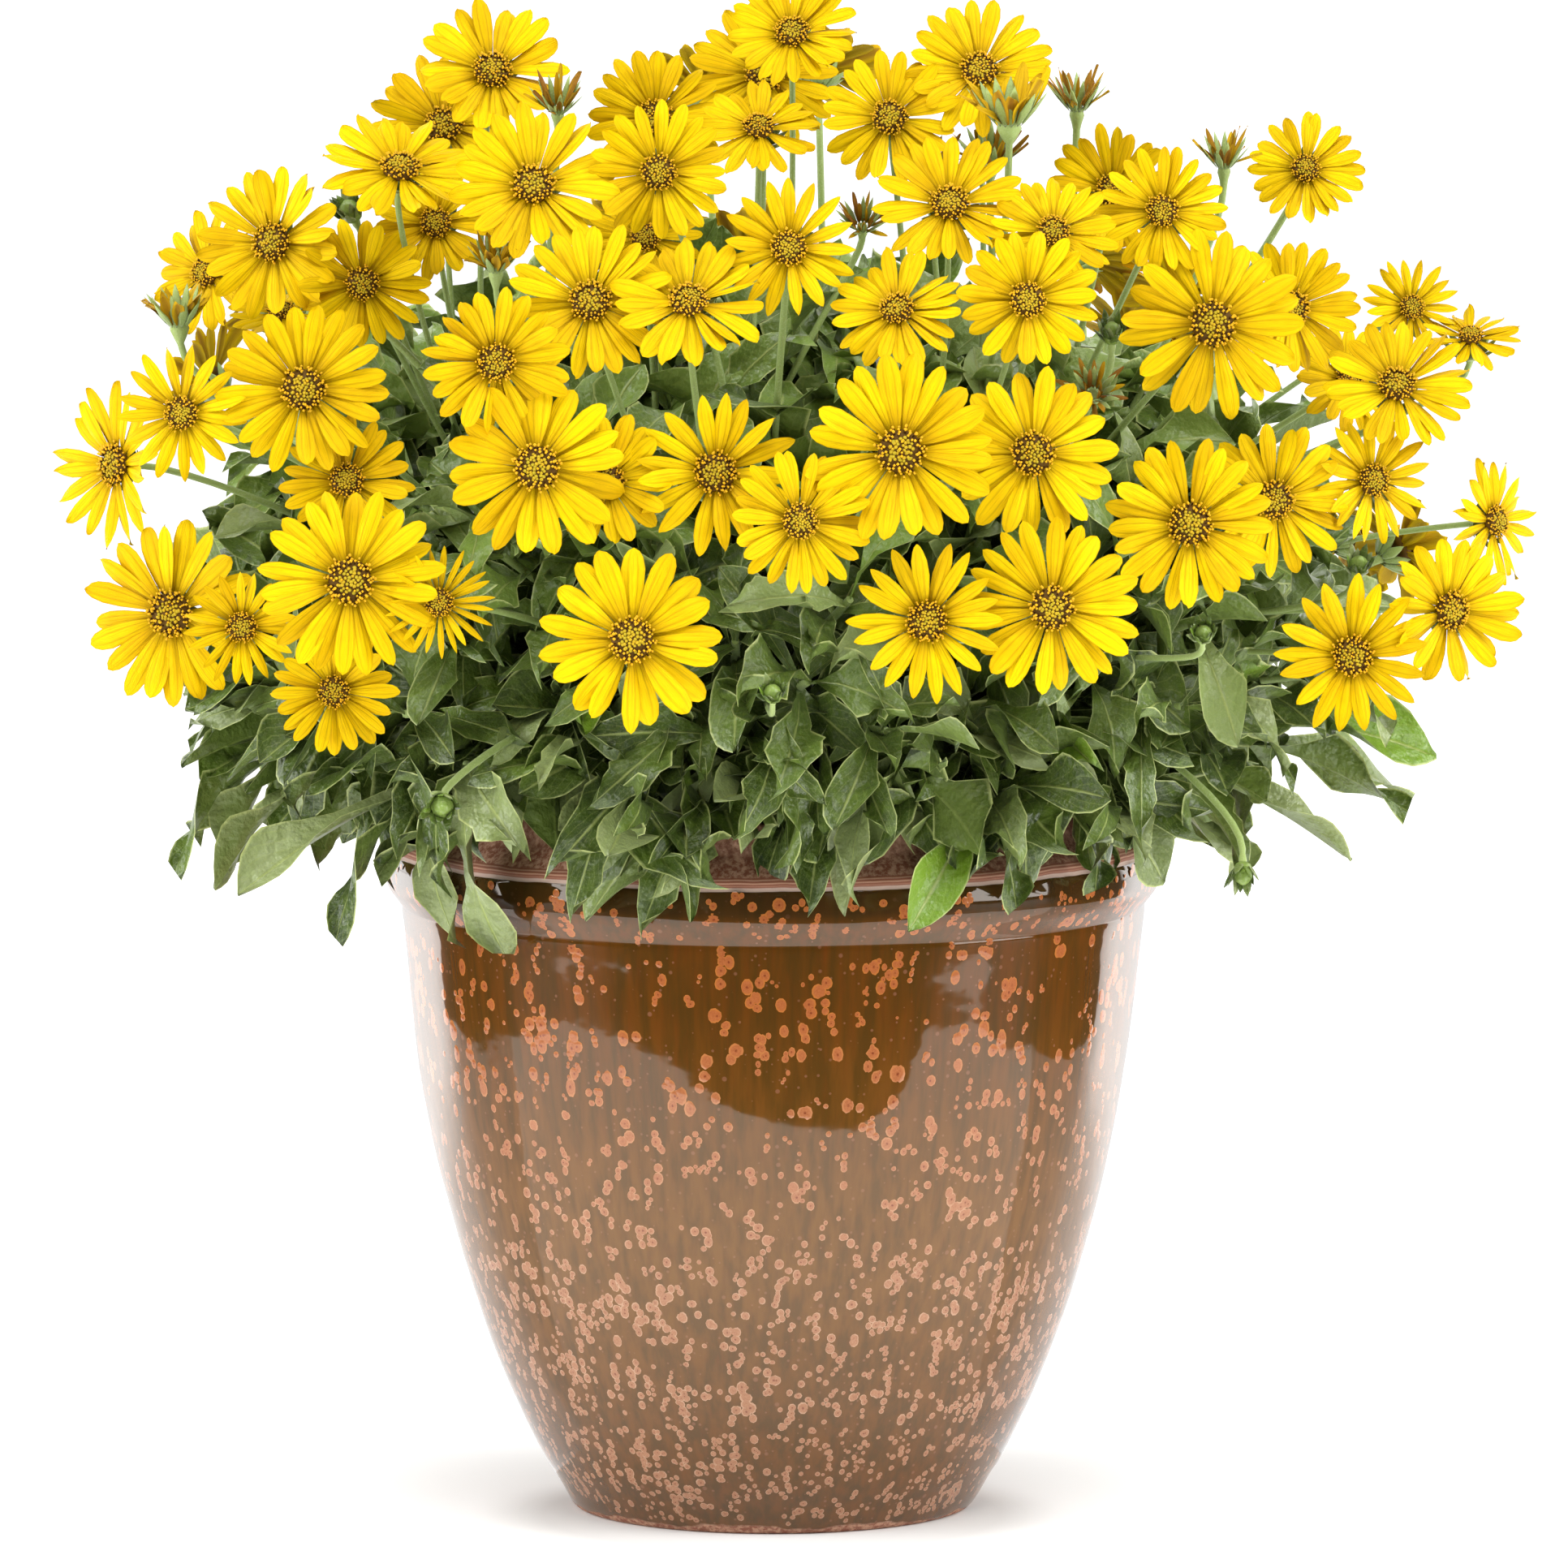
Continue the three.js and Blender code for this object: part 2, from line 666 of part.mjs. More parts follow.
// ---------- leaves ----------
// A toothed leaf from root to tip, arched, with its upper face towards `above`.
function leafSolid(root, tip, above, halfWidth, arch) {
  const along = tip.clone().sub(root).normalize();
  const foot = root.clone().addScaledVector(along, -leaf.sunk);
  const length = tip.distanceTo(foot);
  const side = along.clone().cross(above).normalize();
  const normal = side.clone().cross(along);
  const pointAt = (share, width, lift) =>
    foot
      .clone()
      .addScaledVector(along, share * length)
      .addScaledVector(side, width * halfWidth)
      .addScaledVector(normal, lift + arch * length * 4 * share * (1 - share));
  const edge = [
    ...leafOutline.map(([share, width]) => pointAt(share, width, 0)),
    ...leafOutline
      .slice(1, -1)
      .reverse()
      .map(([share, width]) => pointAt(share, -width, 0)),
  ];
  const upper = edge.length;
  const lower = upper + 1;
  const half = leaf.thickness / 2;
  const points = [...edge, pointAt(leaf.thickest, 0, half), pointAt(leaf.thickest, 0, -half)];
  const faces = [];
  edge.forEach((_, i) => {
    const next = (i + 1) % edge.length;
    faces.push(upper, i, next, lower, next, i);
  });
  return { solid: solidFromFaces(points, faces), points };
}

const outerWall = [...pot.body, ...pot.rim];
function wallRadius(height) {
  let radius = 0;
  outerWall.forEach(([nextRadius, nextHeight], i) => {
    if (i === 0) return;
    const [lastRadius, lastHeight] = outerWall[i - 1];
    if (height < lastHeight - 1 || height > nextHeight + 1) return;
    radius = Math.max(radius, lastRadius, nextRadius);
  });
  return radius;
}

const rimHeight = pot.rim.at(-1)[1];
function clearOfPot(place) {
  if (place.z > rimHeight + potMargin) return true;
  return Math.hypot(place.x, place.y) > wallRadius(place.z) + potMargin;
}

// A shoot runs out of the bush's core and ends in a tuft of leaves round its axis.
function makeShoot(hub, axis, low) {
  const inside = hub.clone().lerp(heartOf(nearestSite(hub)), 0.8);
  return { hub, inside, axis, low, along: hub.clone().sub(inside).normalize() };
}

// The upper shoots are spread over a shell by the golden angle.
function upperShoot(index) {
  const height = 1 - ((index + 0.5) / bush.shoots) * (1 - bush.lowestShoot);
  const level = Math.sqrt(1 - height * height);
  const angle = index * goldenAngle;
  const direction = new THREE.Vector3(level * Math.cos(angle), level * Math.sin(angle), height);
  const axis = direction.clone().divide(bush.shell).normalize().addScaledVector(up, 0.15).normalize();
  return makeShoot(onShell(bush.shell, direction), axis, false);
}

// The lowest shoots reach over the rim of the pot.
function skirtShoot(index) {
  const angle = ((index + spread(index, 7, -0.2, 0.2)) * 2 * Math.PI) / bush.skirtShoots;
  const outward = new THREE.Vector3(Math.cos(angle), Math.sin(angle), 0);
  const hub = outward.clone().setZ(1).multiply(bush.skirt).add(bush.middle);
  hub.z += spread(index, 8, 0, 10);
  return makeShoot(hub, outward, true);
}

// A leaf of a shoot: they stand round its end, each a step further down than the last.
function shootLeaf(shoot, index, place, attempt) {
  const draw = place + 10 * attempt;
  const root = shoot.hub.clone().addScaledVector(shoot.along, -leaf.step * (place + 0.2));
  const length = leaf.length * spread(index, 40 + draw, 0.8, 1.08);
  const way = shoot.axis.clone();
  const above = up.clone();
  if (shoot.low) {
    const dip = THREE.MathUtils.degToRad(spread(index, 30 + draw, 0, 70));
    way.applyAxisAngle(up, THREE.MathUtils.degToRad(spread(index, 50 + draw, -75, 75)));
    above.multiplyScalar(Math.cos(dip)).addScaledVector(way, Math.sin(dip));
    way.multiplyScalar(Math.cos(dip)).addScaledVector(up, -Math.sin(dip));
    above.applyAxisAngle(way, THREE.MathUtils.degToRad(spread(index, 90 + draw, -leaf.roll, leaf.roll)));
  } else {
    const frame = headFrame(shoot.axis);
    const around = (place + 0.3 * attempt) * goldenAngle + index;
    const open = THREE.MathUtils.degToRad(spread(index, 30 + draw, 25, 85));
    const outward = frame.right
      .clone()
      .multiplyScalar(Math.cos(around))
      .addScaledVector(frame.high, Math.sin(around));
    way.multiplyScalar(Math.cos(open)).addScaledVector(outward, Math.sin(open));
    way.z -= spread(index, 50 + draw, 0.05, 0.22);
    above.multiplyScalar(0.4).add(shoot.axis);
  }
  const tip = root.clone().addScaledVector(way, length);
  return leafSolid(root, tip, above, leaf.halfWidth, leaf.arch);
}

// A leaf that stands on the inner bush itself.
function innerLeaf(index, attempt) {
  const height = 1 - ((index + 0.5) / bush.innerLeaves) * (1 - bush.lowestInner);
  const level = Math.sqrt(1 - height * height);
  const angle = index * goldenAngle;
  const direction = new THREE.Vector3(level * Math.cos(angle), level * Math.sin(angle), height);
  const root = onShell(bush.core, direction.multiplyScalar(bush.innerDepth));
  const way = direction.setZ(direction.z + 0.7).normalize();
  const lean = THREE.MathUtils.degToRad(spread(index, 60 + attempt, 15, 60));
  const around = noise(index, 70 + attempt) * 2 * Math.PI;
  const frame = headFrame(way);
  const aside = frame.right.multiplyScalar(Math.cos(around)).addScaledVector(frame.high, Math.sin(around));
  const above = way.clone();
  way.multiplyScalar(Math.cos(lean)).addScaledVector(aside, Math.sin(lean));
  const tip = root.clone().addScaledVector(way, leaf.length * spread(index, 80 + attempt, 0.8, 1.1));
  return { cell: nearestSite(root), ...leafSolid(root, tip, above, leaf.halfWidth, leaf.arch) };
}

function nearestShoot([across, rise, reach], shoots) {
  const tip = onSight(across, rise, reach);
  return shoots.reduce((best, one) => (one.hub.distanceTo(tip) < best.hub.distanceTo(tip) ? one : best));
}

// A leaf with its tip in a given place.
function hangingLeaf([across, rise, reach, halfWidth], { hub, along, axis }, attempt) {
  const tip = onSight(across, rise, reach + 4 * attempt);
  const root = hub.clone().addScaledVector(along, -leaf.step * (0.1 + 0.3 * attempt));
  return leafSolid(root, tip, axis.clone().addScaledVector(up, 0.8), halfWidth, 0.14);
}

// ---------- leafy stems ----------
function bushCore() {
  const geometry = new THREE.IcosahedronGeometry(1, 1);
  const points = geometry.getAttribute("position");
  const point = new THREE.Vector3();
  for (let i = 0; i < points.count; i++) {
    point.fromBufferAttribute(points, i);
    const item = Math.round(50 * point.x) + 101 * Math.round(50 * point.y) + 997 * Math.round(50 * point.z);
    point.multiplyScalar(spread(item, 9, ...bush.coreRough));
    points.setXYZ(i, point.x, point.y, point.z);
  }
  geometry.scale(bush.core.x, bush.core.y, bush.core.z);
  geometry.translate(0, 0, bush.middle.z);
  const block = new THREE.BoxGeometry(600, 600, 400).translate(0, 0, bush.coreFloor - 200);
  return solidOf(geometry).subtract(solidOf(block));
}

function stemSolid(site, radius, bottom) {
  const foot = new THREE.Vector3(site.x * stems.standing, site.y * stems.standing, bottom);
  const top = new THREE.Vector3(site.x * 0.85, site.y * 0.85, bush.coreFloor + 20);
  const rings = [foot, foot.clone().setZ(soil.edgeHeight + 8), top];
  return loft(rings.map((place) => section(place, up, new THREE.Vector3(1, 0, 0), radius, 6)));
}

const boxesMeet = (one, other) =>
  one.min.every((low, i) => low < other.max[i]) && other.min.every((low, i) => low < one.max[i]);

// What has found its place in the bush, so that each new leaf can be bent clear of it.
function makeCrowd(solids) {
  const members = solids.map((solid) => ({ solid, box: solid.boundingBox() }));
  const meets = (solid) => {
    const box = solid.boundingBox();
    const near = members.filter((member) => boxesMeet(box, member.box));
    return near.some((member) => member.solid.intersect(solid).volume() > 0);
  };
  return { meets, add: (solid) => members.push({ solid, box: solid.boundingBox() }) };
}

// The first of several tries at a leaf that stays in its cell, off the pot and out of the crowd.
function growLeaf(tryLeaf, cell, crowd) {
  for (let attempt = 0; attempt < leaf.tries; attempt++) {
    const { solid, points } = tryLeaf(attempt);
    const middles = points.map((point, i) => point.clone().lerp(points[(i + 1) % points.length], 0.5));
    if (points.some((point) => cellMargin(point, cell) < stems.cellGap)) continue;
    if (![...points, ...middles].every(clearOfPot) || crowd.meets(solid)) continue;
    crowd.add(solid);
    return solid;
  }
  return null;
}

function leafyStems() {
  const parts = sites.map((site) => [
    stemSolid(site, stems.radius, soil.edgeHeight - soil.holeDepth + fitGap),
  ]);
  const crowd = makeCrowd(heads.map(headRoom));
  const addOnStalk = (one, cupRadius, solids) => {
    const { curve, cell } = stalkCurve(one.middle, one.facing, one);
    for (const solid of [stalkSolid(curve, one.middle, one.facing, cupRadius), ...solids]) {
      parts[cell].push(solid);
      crowd.add(solid);
    }
  };
  for (const one of heads) addOnStalk(one, cup.radius, []);
  greenHeads.forEach(([across, rise, ahead, radius, turn, tilt, kind], index) => {
    const middle = onSight(across, rise, domeReach(across, rise) + ahead);
    const one = { middle, facing: facing(turn, tilt), radius, kind, index };
    addOnStalk(one, 0.5 * radius, [greenHeadSolid(one)]);
  });
  const grow = (shoot, tryLeaf) => {
    const cell = nearestSite(shoot.hub);
    const grown = growLeaf(tryLeaf, cell, crowd);
    if (grown) parts[cell].push(grown);
  };
  const upperShoots = Array.from({ length: bush.shoots }, (_, i) => upperShoot(i));
  const skirtShoots = Array.from({ length: bush.skirtShoots }, (_, i) => skirtShoot(i));
  for (const { hub, inside } of [...upperShoots, ...skirtShoots])
    parts[nearestSite(hub)].push(straightTube(inside, hub, stalk.branchRadius, 3));
  for (const row of hangingLeaves) {
    const shoot = nearestShoot(row, skirtShoots);
    grow(shoot, (attempt) => hangingLeaf(row, shoot, attempt));
  }
  skirtShoots.forEach((shoot, i) => {
    for (let place = 0; place < bush.skirtLeaves; place++)
      grow(shoot, (attempt) => shootLeaf(shoot, i + bush.shoots, place, attempt));
  });
  upperShoots.forEach((shoot, i) => {
    for (let place = 0; place < bush.shootLeaves; place++)
      grow(shoot, (attempt) => shootLeaf(shoot, i, place, attempt));
  });
  for (let i = 0; i < bush.innerLeaves; i++) {
    const { cell } = innerLeaf(i, 0);
    const grown = growLeaf((attempt) => innerLeaf(i, attempt), cell, crowd);
    if (grown) parts[cell].push(grown);
  }
  const core = bushCore();
  return parts.map((solids, i) => largest(joined([core, ...solids]).intersect(cellPrism(i))));
}

// ---------- pot and soil ----------
function potSolid() {
  const { drainRadius, floorHeight, footHollowRadius, footHollowHeight } = pot;
  return turned([
    [drainRadius, footHollowHeight],
    [footHollowRadius, footHollowHeight],
    [footHollowRadius + 2, 0],
    ...pot.body,
    ...pot.rim,
    ...pot.inside,
    [drainRadius, floorHeight],
  ]);
}

function soilSolid() {
  const wall = pot.inside.slice(1).reverse();
  const filling = turned([
    [0, pot.floorHeight + fitGap],
    ...wall.map(([radius, height], i) => [radius - 1.2 * fitGap, i ? height : height + fitGap]),
    [pot.inside[1][0] - 1.2 * fitGap, soil.edgeHeight],
    [0, soil.middleHeight],
  ]);
  const holes = sites.map((site) =>
    stemSolid(site, stems.radius + fitGap, soil.edgeHeight - soil.holeDepth),
  );
  return filling.subtract(joined(holes));
}

// ---------- the finished plant ----------
const finishes = {
  glaze: { color: 0x7a4420, roughness: 0.15, metalness: 0 },
  soil: { color: 0x2b1d14, roughness: 1, metalness: 0 },
  leaf: { color: 0x5c7d44, roughness: 0.6, metalness: 0 },
  petal: { color: 0xf2c800, roughness: 0.55, metalness: 0 },
};

const plant = new THREE.Group();

function addSolid(name, solid, finish) {
  const mesh = new THREE.Mesh(geometryOf(solid), new THREE.MeshStandardMaterial(finishes[finish]));
  mesh.name = name;
  plant.add(mesh);
}

const label = (number) => String(number).padStart(2, "0");

addSolid("pot", potSolid(), "glaze");
addSolid("soil", soilSolid(), "soil");
leafyStems().forEach((solid, i) => addSolid(`leafy_stem_${i + 1}`, solid, "leaf"));
const headBy = new Map(heads.map((one) => [one.number, headSolid(one)]));
for (const pair of touchingHeads) {
  const blooms = pair.map((number) => headBy.get(number));
  addSolid(`blooms_${pair.map(label).join("_")}`, joined(blooms), "petal");
  pair.forEach((number) => headBy.delete(number));
}
rearGroups.forEach(([, , count], group) => {
  const members = Array.from({ length: count }, (_, i) => 101 + 10 * group + i);
  addSolid(`blooms_rear_${group + 1}`, joined(members.map((number) => headBy.get(number))), "petal");
  members.forEach((number) => headBy.delete(number));
});
for (const [number, solid] of headBy) addSolid(`bloom_${label(number)}`, solid, "petal");

// The origin is the middle of the plant's box, on the floor.
const box = new THREE.Box3().setFromObject(plant);
const offset = box.getCenter(new THREE.Vector3()).negate();
plant.position.set(offset.x, offset.y, 0);

const part = new THREE.Group();
part.add(plant);

export default part;
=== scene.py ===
# Osteospermum in a glazed pot: the finer pieces and finishes that show in place of the plain model
import json
from itertools import product
from math import atan, atan2, cos, floor, inf, pi, radians, sin, sqrt, tan
from types import SimpleNamespace as Record

import bpy
import numpy as np
from mathutils import Matrix, Vector

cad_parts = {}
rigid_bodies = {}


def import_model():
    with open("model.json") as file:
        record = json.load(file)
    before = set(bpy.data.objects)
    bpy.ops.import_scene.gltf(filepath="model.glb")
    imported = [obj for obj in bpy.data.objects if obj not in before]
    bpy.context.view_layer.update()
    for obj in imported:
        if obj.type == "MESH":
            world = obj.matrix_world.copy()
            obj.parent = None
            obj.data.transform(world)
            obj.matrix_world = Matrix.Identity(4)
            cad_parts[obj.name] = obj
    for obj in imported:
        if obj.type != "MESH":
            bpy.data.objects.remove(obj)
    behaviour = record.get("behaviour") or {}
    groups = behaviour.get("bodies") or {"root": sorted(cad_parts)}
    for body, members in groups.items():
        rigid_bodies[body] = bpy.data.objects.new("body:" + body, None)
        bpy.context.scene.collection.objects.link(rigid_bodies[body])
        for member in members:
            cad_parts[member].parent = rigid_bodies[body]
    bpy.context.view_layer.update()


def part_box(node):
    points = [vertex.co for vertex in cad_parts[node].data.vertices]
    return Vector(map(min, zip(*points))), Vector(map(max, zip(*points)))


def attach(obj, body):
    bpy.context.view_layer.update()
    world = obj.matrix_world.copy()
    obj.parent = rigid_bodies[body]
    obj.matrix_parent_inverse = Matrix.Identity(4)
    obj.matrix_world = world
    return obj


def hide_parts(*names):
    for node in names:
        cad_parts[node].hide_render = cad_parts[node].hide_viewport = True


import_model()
print("model loaded")

# the pot's own axis, which every place below is measured from, in millimetres
potLow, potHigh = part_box("pot")
axisX = 500 * (potLow.x + potHigh.x)
axisY = 500 * (potLow.y + potHigh.y)


def metres(x, y, z):
    return (x + axisX) / 1000, (y + axisY) / 1000, z / 1000


def roundAxis(radius, angle, height):
    return metres(radius * cos(angle), radius * sin(angle), height)


def noise(item, kind):
    wave = sin(item * 12.9898 + kind * 78.233) * 43758.5453
    return wave - floor(wave)


def spread(item, kind, low, high):
    return low + (high - low) * noise(item, kind)


def vec(*numbers):
    return np.array(numbers, float)


def unit(vector):
    return vector / np.linalg.norm(vector)


def mix(first, second, share):
    return first + (second - first) * share


def swung(first, second, angle):
    return first * cos(angle) + second * sin(angle)


def steps(count):
    return [2 * pi * i / count for i in range(count)]


up = vec(0, 0, 1)
goldenAngle = radians(137.508)
layerKinds = {"kind": "INT", "finish": "INT", "turn": "FLOAT_VECTOR", "size": "FLOAT_VECTOR"}


def newObject(name, data):
    item = bpy.data.objects.new(name, data)
    bpy.context.scene.collection.objects.link(item)
    return item


def makeObject(name, points, faces, finishes=(), layers=None, edges=(), smooth=True):
    mesh = bpy.data.meshes.new(name)
    mesh.from_pydata([tuple(point) for point in points], list(edges), [tuple(face) for face in faces])
    for finish in finishes:
        mesh.materials.append(finish)
    for label, values in (layers or {}).items():
        kind = layerKinds.get(label, "FLOAT")
        layer = mesh.attributes.new(label, kind, "POINT")
        numbers = np.asarray(values, np.int32 if kind == "INT" else np.float32).ravel()
        layer.data.foreach_set("vector" if kind == "FLOAT_VECTOR" else "value", numbers)
    if smooth and faces:
        mesh.shade_smooth()
    return newObject(name, mesh)


def countTriangles(piece):
    return sum(len(face.vertices) - 2 for face in piece.data.polygons)


class Net:
    # the nodes of one tree, its settings by name, and short ways to wire it

    def __init__(self, tree, own=None):
        self.tree = tree
        self.own = own or {}
        self.coordinates = None

    def fill(self, node, values):
        for label, value in values.items():
            socket = node.inputs[label]
            if isinstance(value, bpy.types.NodeSocket):
                self.tree.links.new(value, socket)
                continue
            if isinstance(value, str):
                value = self.own.get(value, value)
            socket.default_value = (*value, 1) if socket.type == "RGBA" else value

    def add(self, kind, values=None, out=0, **settings):
        node = self.tree.nodes.new(kind)
        for key, value in settings.items():
            setattr(node, key, value)
        self.fill(node, values or {})
        return node.outputs[out]

    def math(self, operation, *values):
        return self.add("ShaderNodeMath", dict(enumerate(values)), operation=operation)

    def times(self, first, second):
        return self.math("MULTIPLY", first, second)

    def plus(self, first, second):
        return self.math("ADD", first, second)

    def most(self, first, second):
        return self.math("MAXIMUM", first, second)

    def size(self, value):
        return self.math("ABSOLUTE", value)

    def ramp(self, value, low, high, toLow=0.0, toHigh=1.0, smooth=False):
        values = {"Value": value, "From Min": low, "From Max": high, "To Min": toLow, "To Max": toHigh}
        kind = "SMOOTHSTEP" if smooth else "LINEAR"
        return self.add("ShaderNodeMapRange", values, "Result", interpolation_type=kind)

    def ridge(self, value, middle, far, close, height=1.0, smooth=False):
        return self.ramp(self.size(self.math("SUBTRACT", value, middle)), far, close, 0.0, height, smooth)

    def shaken(self, value, by, amount):
        return self.plus(value, self.ramp(by, 0.3, 0.7, -amount, amount))

    def mix(self, factor, first, second):
        values = {"Factor": factor, "A": first, "B": second}
        return self.add("ShaderNodeMix", values, "Result", data_type="RGBA")

    def place(self):
        if self.coordinates is None:
            self.coordinates = self.add("ShaderNodeTexCoord", out="Object")
        return self.coordinates

    def axes(self, vector):
        return self.add("ShaderNodeSeparateXYZ", {"Vector": vector}).node.outputs

    def distance(self, vector, x, y):
        values = {0: vector, 1: metres(x, y, 0)}
        return self.add("ShaderNodeVectorMath", values, "Value", operation="DISTANCE")

    def noise(self, scale, detail=3.0, roughness=0.5, stretch=None, vector=None):
        vector = vector or self.place()
        if stretch:
            vector = self.add("ShaderNodeMapping", {"Scale": stretch, "Vector": vector})
        values = {"Scale": scale, "Detail": detail, "Roughness": roughness, "Vector": vector}
        return self.add("ShaderNodeTexNoise", values, "Fac")

    def layer(self, name):
        return self.add("ShaderNodeAttribute", out="Fac", attribute_name=name)

    def bump(self, height, strength, distance):
        values = {"Strength": strength, "Distance": distance, "Height": height}
        return self.add("ShaderNodeBump", values, "Normal")

    def group(self, group, values):
        return self.add("ShaderNodeGroup", values, "Mask", node_tree=group)


def newFinish(name, own=None):
    material = bpy.data.materials.new(name)
    material.use_nodes = True
    return material, Net(material.node_tree, own), material.node_tree.nodes["Principled BSDF"]


studio = {
    # the camera's place in millimetres, and how many degrees it looks down
    "eye": (4.2, -5000, 810),
    "pitch": 6.18,
    "lens": 312.4,
    "floorSize": 14,
    "floorColor": (0.88, 0.88, 0.87),
    # metres from the pot's axis and what the floor glows there, less near the foot as a painted contact
    # shadow, and the painted shadow taken off in front
    "floorGlowAndPaintedShadow": (0.07, 0.27, 0.22, 0.6),
    "paintedFootShadow": (0.075, 0.115, 0.27, 0.0),
    "paintedShadowAhead": 30,
    # a dark card that only mirrors see, a painted dark reflection of the room in front of the paper, with
    # its outer edge: times the torn edge's x, and y near the middle
    "darkRoom": (0.012, 0.01, 0.008),
    "darkHeight": 0.006,
    "darkAside": 12,
    "darkAhead": -9,
    "darkMiddle": 3,
    "paperHeight": 0.003,
    "skyStrength": 1.2,
    "ambient": 0.5,
    "panels": (
        ("leftPanel", (-2.4, -0.8, 1.2), (1.6, 2.2), 58, 0.3),
        ("rightPanel", (2.4, -0.8, 1.2), (1.6, 2.2), 58, 0.3),
        ("topPanel", (0.2, -1.4, 3), (2.4, 2.4), 74, 0.35),
    ),
    # least and most glow behind, how straight behind it starts, how it falls, and the glow in front
    "backGlow": (0.66, 3.96),
    "backFrom": 0.6,
    "backSoft": 0.02,
    "backFall": (1.0, 0.616),
    "backPower": 0.75,
    "frontGlow": 0.03,
    # where the glowing card, a painted reflection of the brighter paper behind, starts beside and behind
    # the axis
    "paintedReflectionAside": 0.115,
    "paintedReflectionBack": 0.04,
    "paintedReflectionOutline": ((0.115, -0.04), (6, -0.04), (6, 6), (0, 6), (0, 0.115), (0.085, 0.075)),
    # the torn front edge of the lit paper, from left to right
    "paperEdge": (
        (-7.0, 5.5), (-0.765, 0.483), (-0.70, 0.10), (-0.64, -0.30), (-0.47, -0.47), (-0.307, -0.51),
        (-0.15, -0.47), (-0.02, -0.43), (0.158, -0.386), (0.30, -0.40), (0.408, -0.437), (0.50, -0.48),
        (0.596, -0.41), (0.688, -0.343), (0.65, -0.20), (0.727, -0.056), (0.70, 0.15), (0.761, 0.426),
        (7.0, 5.3),
    ),
}


def makeCamera():
    data = bpy.data.cameras.new("camera")
    data.lens = studio["lens"]
    data.sensor_width = 36
    data.clip_end = 60
    camera = newObject("camera", data)
    camera.location = metres(*studio["eye"])
    camera.rotation_euler = (radians(90 - studio["pitch"]), 0, 0)
    bpy.context.scene.camera = camera


def makeLight(name, place, size, strength, aim):
    data = bpy.data.lights.new(name, "AREA")
    data.energy = strength
    data.shape = "RECTANGLE"
    data.size, data.size_y = size
    light = newObject(name, data)
    light.location = place
    light.rotation_euler = (Vector((0, 0, aim)) - Vector(place)).to_track_quat("-Z", "Y").to_euler()


def makeMirrorCard(name, faces, height, material):
    # a card just above the floor that only mirrors see, which paints a reflection
    corners = [(x, y, height) for face in faces for x, y in face]
    numbers = iter(range(len(corners)))
    rings = [[next(numbers) for _ in face] for face in faces]
    card = makeObject(name, corners, rings, [material], smooth=False)
    card.visible_camera = False
    card.visible_diffuse = False
    card.visible_shadow = False


def makeFloor():
    finish, net, shader = newFinish("white paper", studio)
    # painted contact shadow: the paper glows less round the foot, and least just in front of it
    place = net.place()
    glow = net.ramp(net.distance(place, 0, 0), *studio["floorGlowAndPaintedShadow"], True)
    paintedShade = net.ramp(net.distance(place, 0, -studio["paintedShadowAhead"]), *studio["paintedFootShadow"], True)
    glow = net.most(net.math("SUBTRACT", glow, paintedShade), 0.0)
    net.fill(shader, {"Base Color": "floorColor", "Roughness": 0.9, "Specular IOR Level": 0})
    net.fill(shader, {"Emission Color": (1, 1, 1), "Emission Strength": glow})
    half = studio["floorSize"] / 2
    corners = [(-half, -half, 0), (half, -half, 0), (half, half, 0), (-half, half, 0)]
    floor = makeObject("floor", corners, [(0, 1, 2, 3)], [finish], smooth=False)


def backGlow(net, straight):
    falling = net.math("POWER", net.ramp(straight, *studio["backFall"]), studio["backPower"])
    return net.ramp(falling, 0, 1, *studio["backGlow"])


def darkCorner(x, y):
    return x * studio["darkAside"], studio["darkAhead"] if abs(x) < studio["darkMiddle"] else y


def makeCards():
    # where the lit paper ends for the glaze: a dark card there paints the dark reflection of the room
    finish, net, shader = newFinish("dark room", studio)
    net.fill(shader, {"Base Color": "darkRoom"})
    edge = studio["paperEdge"]
    strips = [[darkCorner(*near), darkCorner(*far), far, near] for near, far in zip(edge, edge[1:])]
    makeMirrorCard("darkRoom", strips, studio["darkHeight"], finish)

    # a glowing card that only mirrors see: a painted reflection of the brighter paper behind the pot, which
    # its sides mirror
    finish, net, shader = newFinish("lit paper")
    x, y, _ = net.axes(net.place())
    aside = net.math("SUBTRACT", net.size(x), studio["paintedReflectionAside"])
    back = net.plus(y, studio["paintedReflectionBack"])
    length = net.math("SQRT", net.plus(net.times(aside, aside), net.times(back, back)))
    straight = net.math("DIVIDE", back, length)
    rise = net.times(net.ramp(straight, 0.45, 0.75, 0, 1, True), net.ramp(length, 0.35, 0.8, 0.1, 1, True))
    strength = net.ramp(rise, 0, 1, 1.0, backGlow(net, straight))
    net.fill(shader, {"Base Color": (0, 0, 0), "Emission Color": (1, 1, 1), "Emission Strength": strength})
    right = studio["paintedReflectionOutline"]
    left = [(-x, y) for x, y in right[::-1]]
    makeMirrorCard("litPaper", [right, left], studio["paperHeight"], finish)


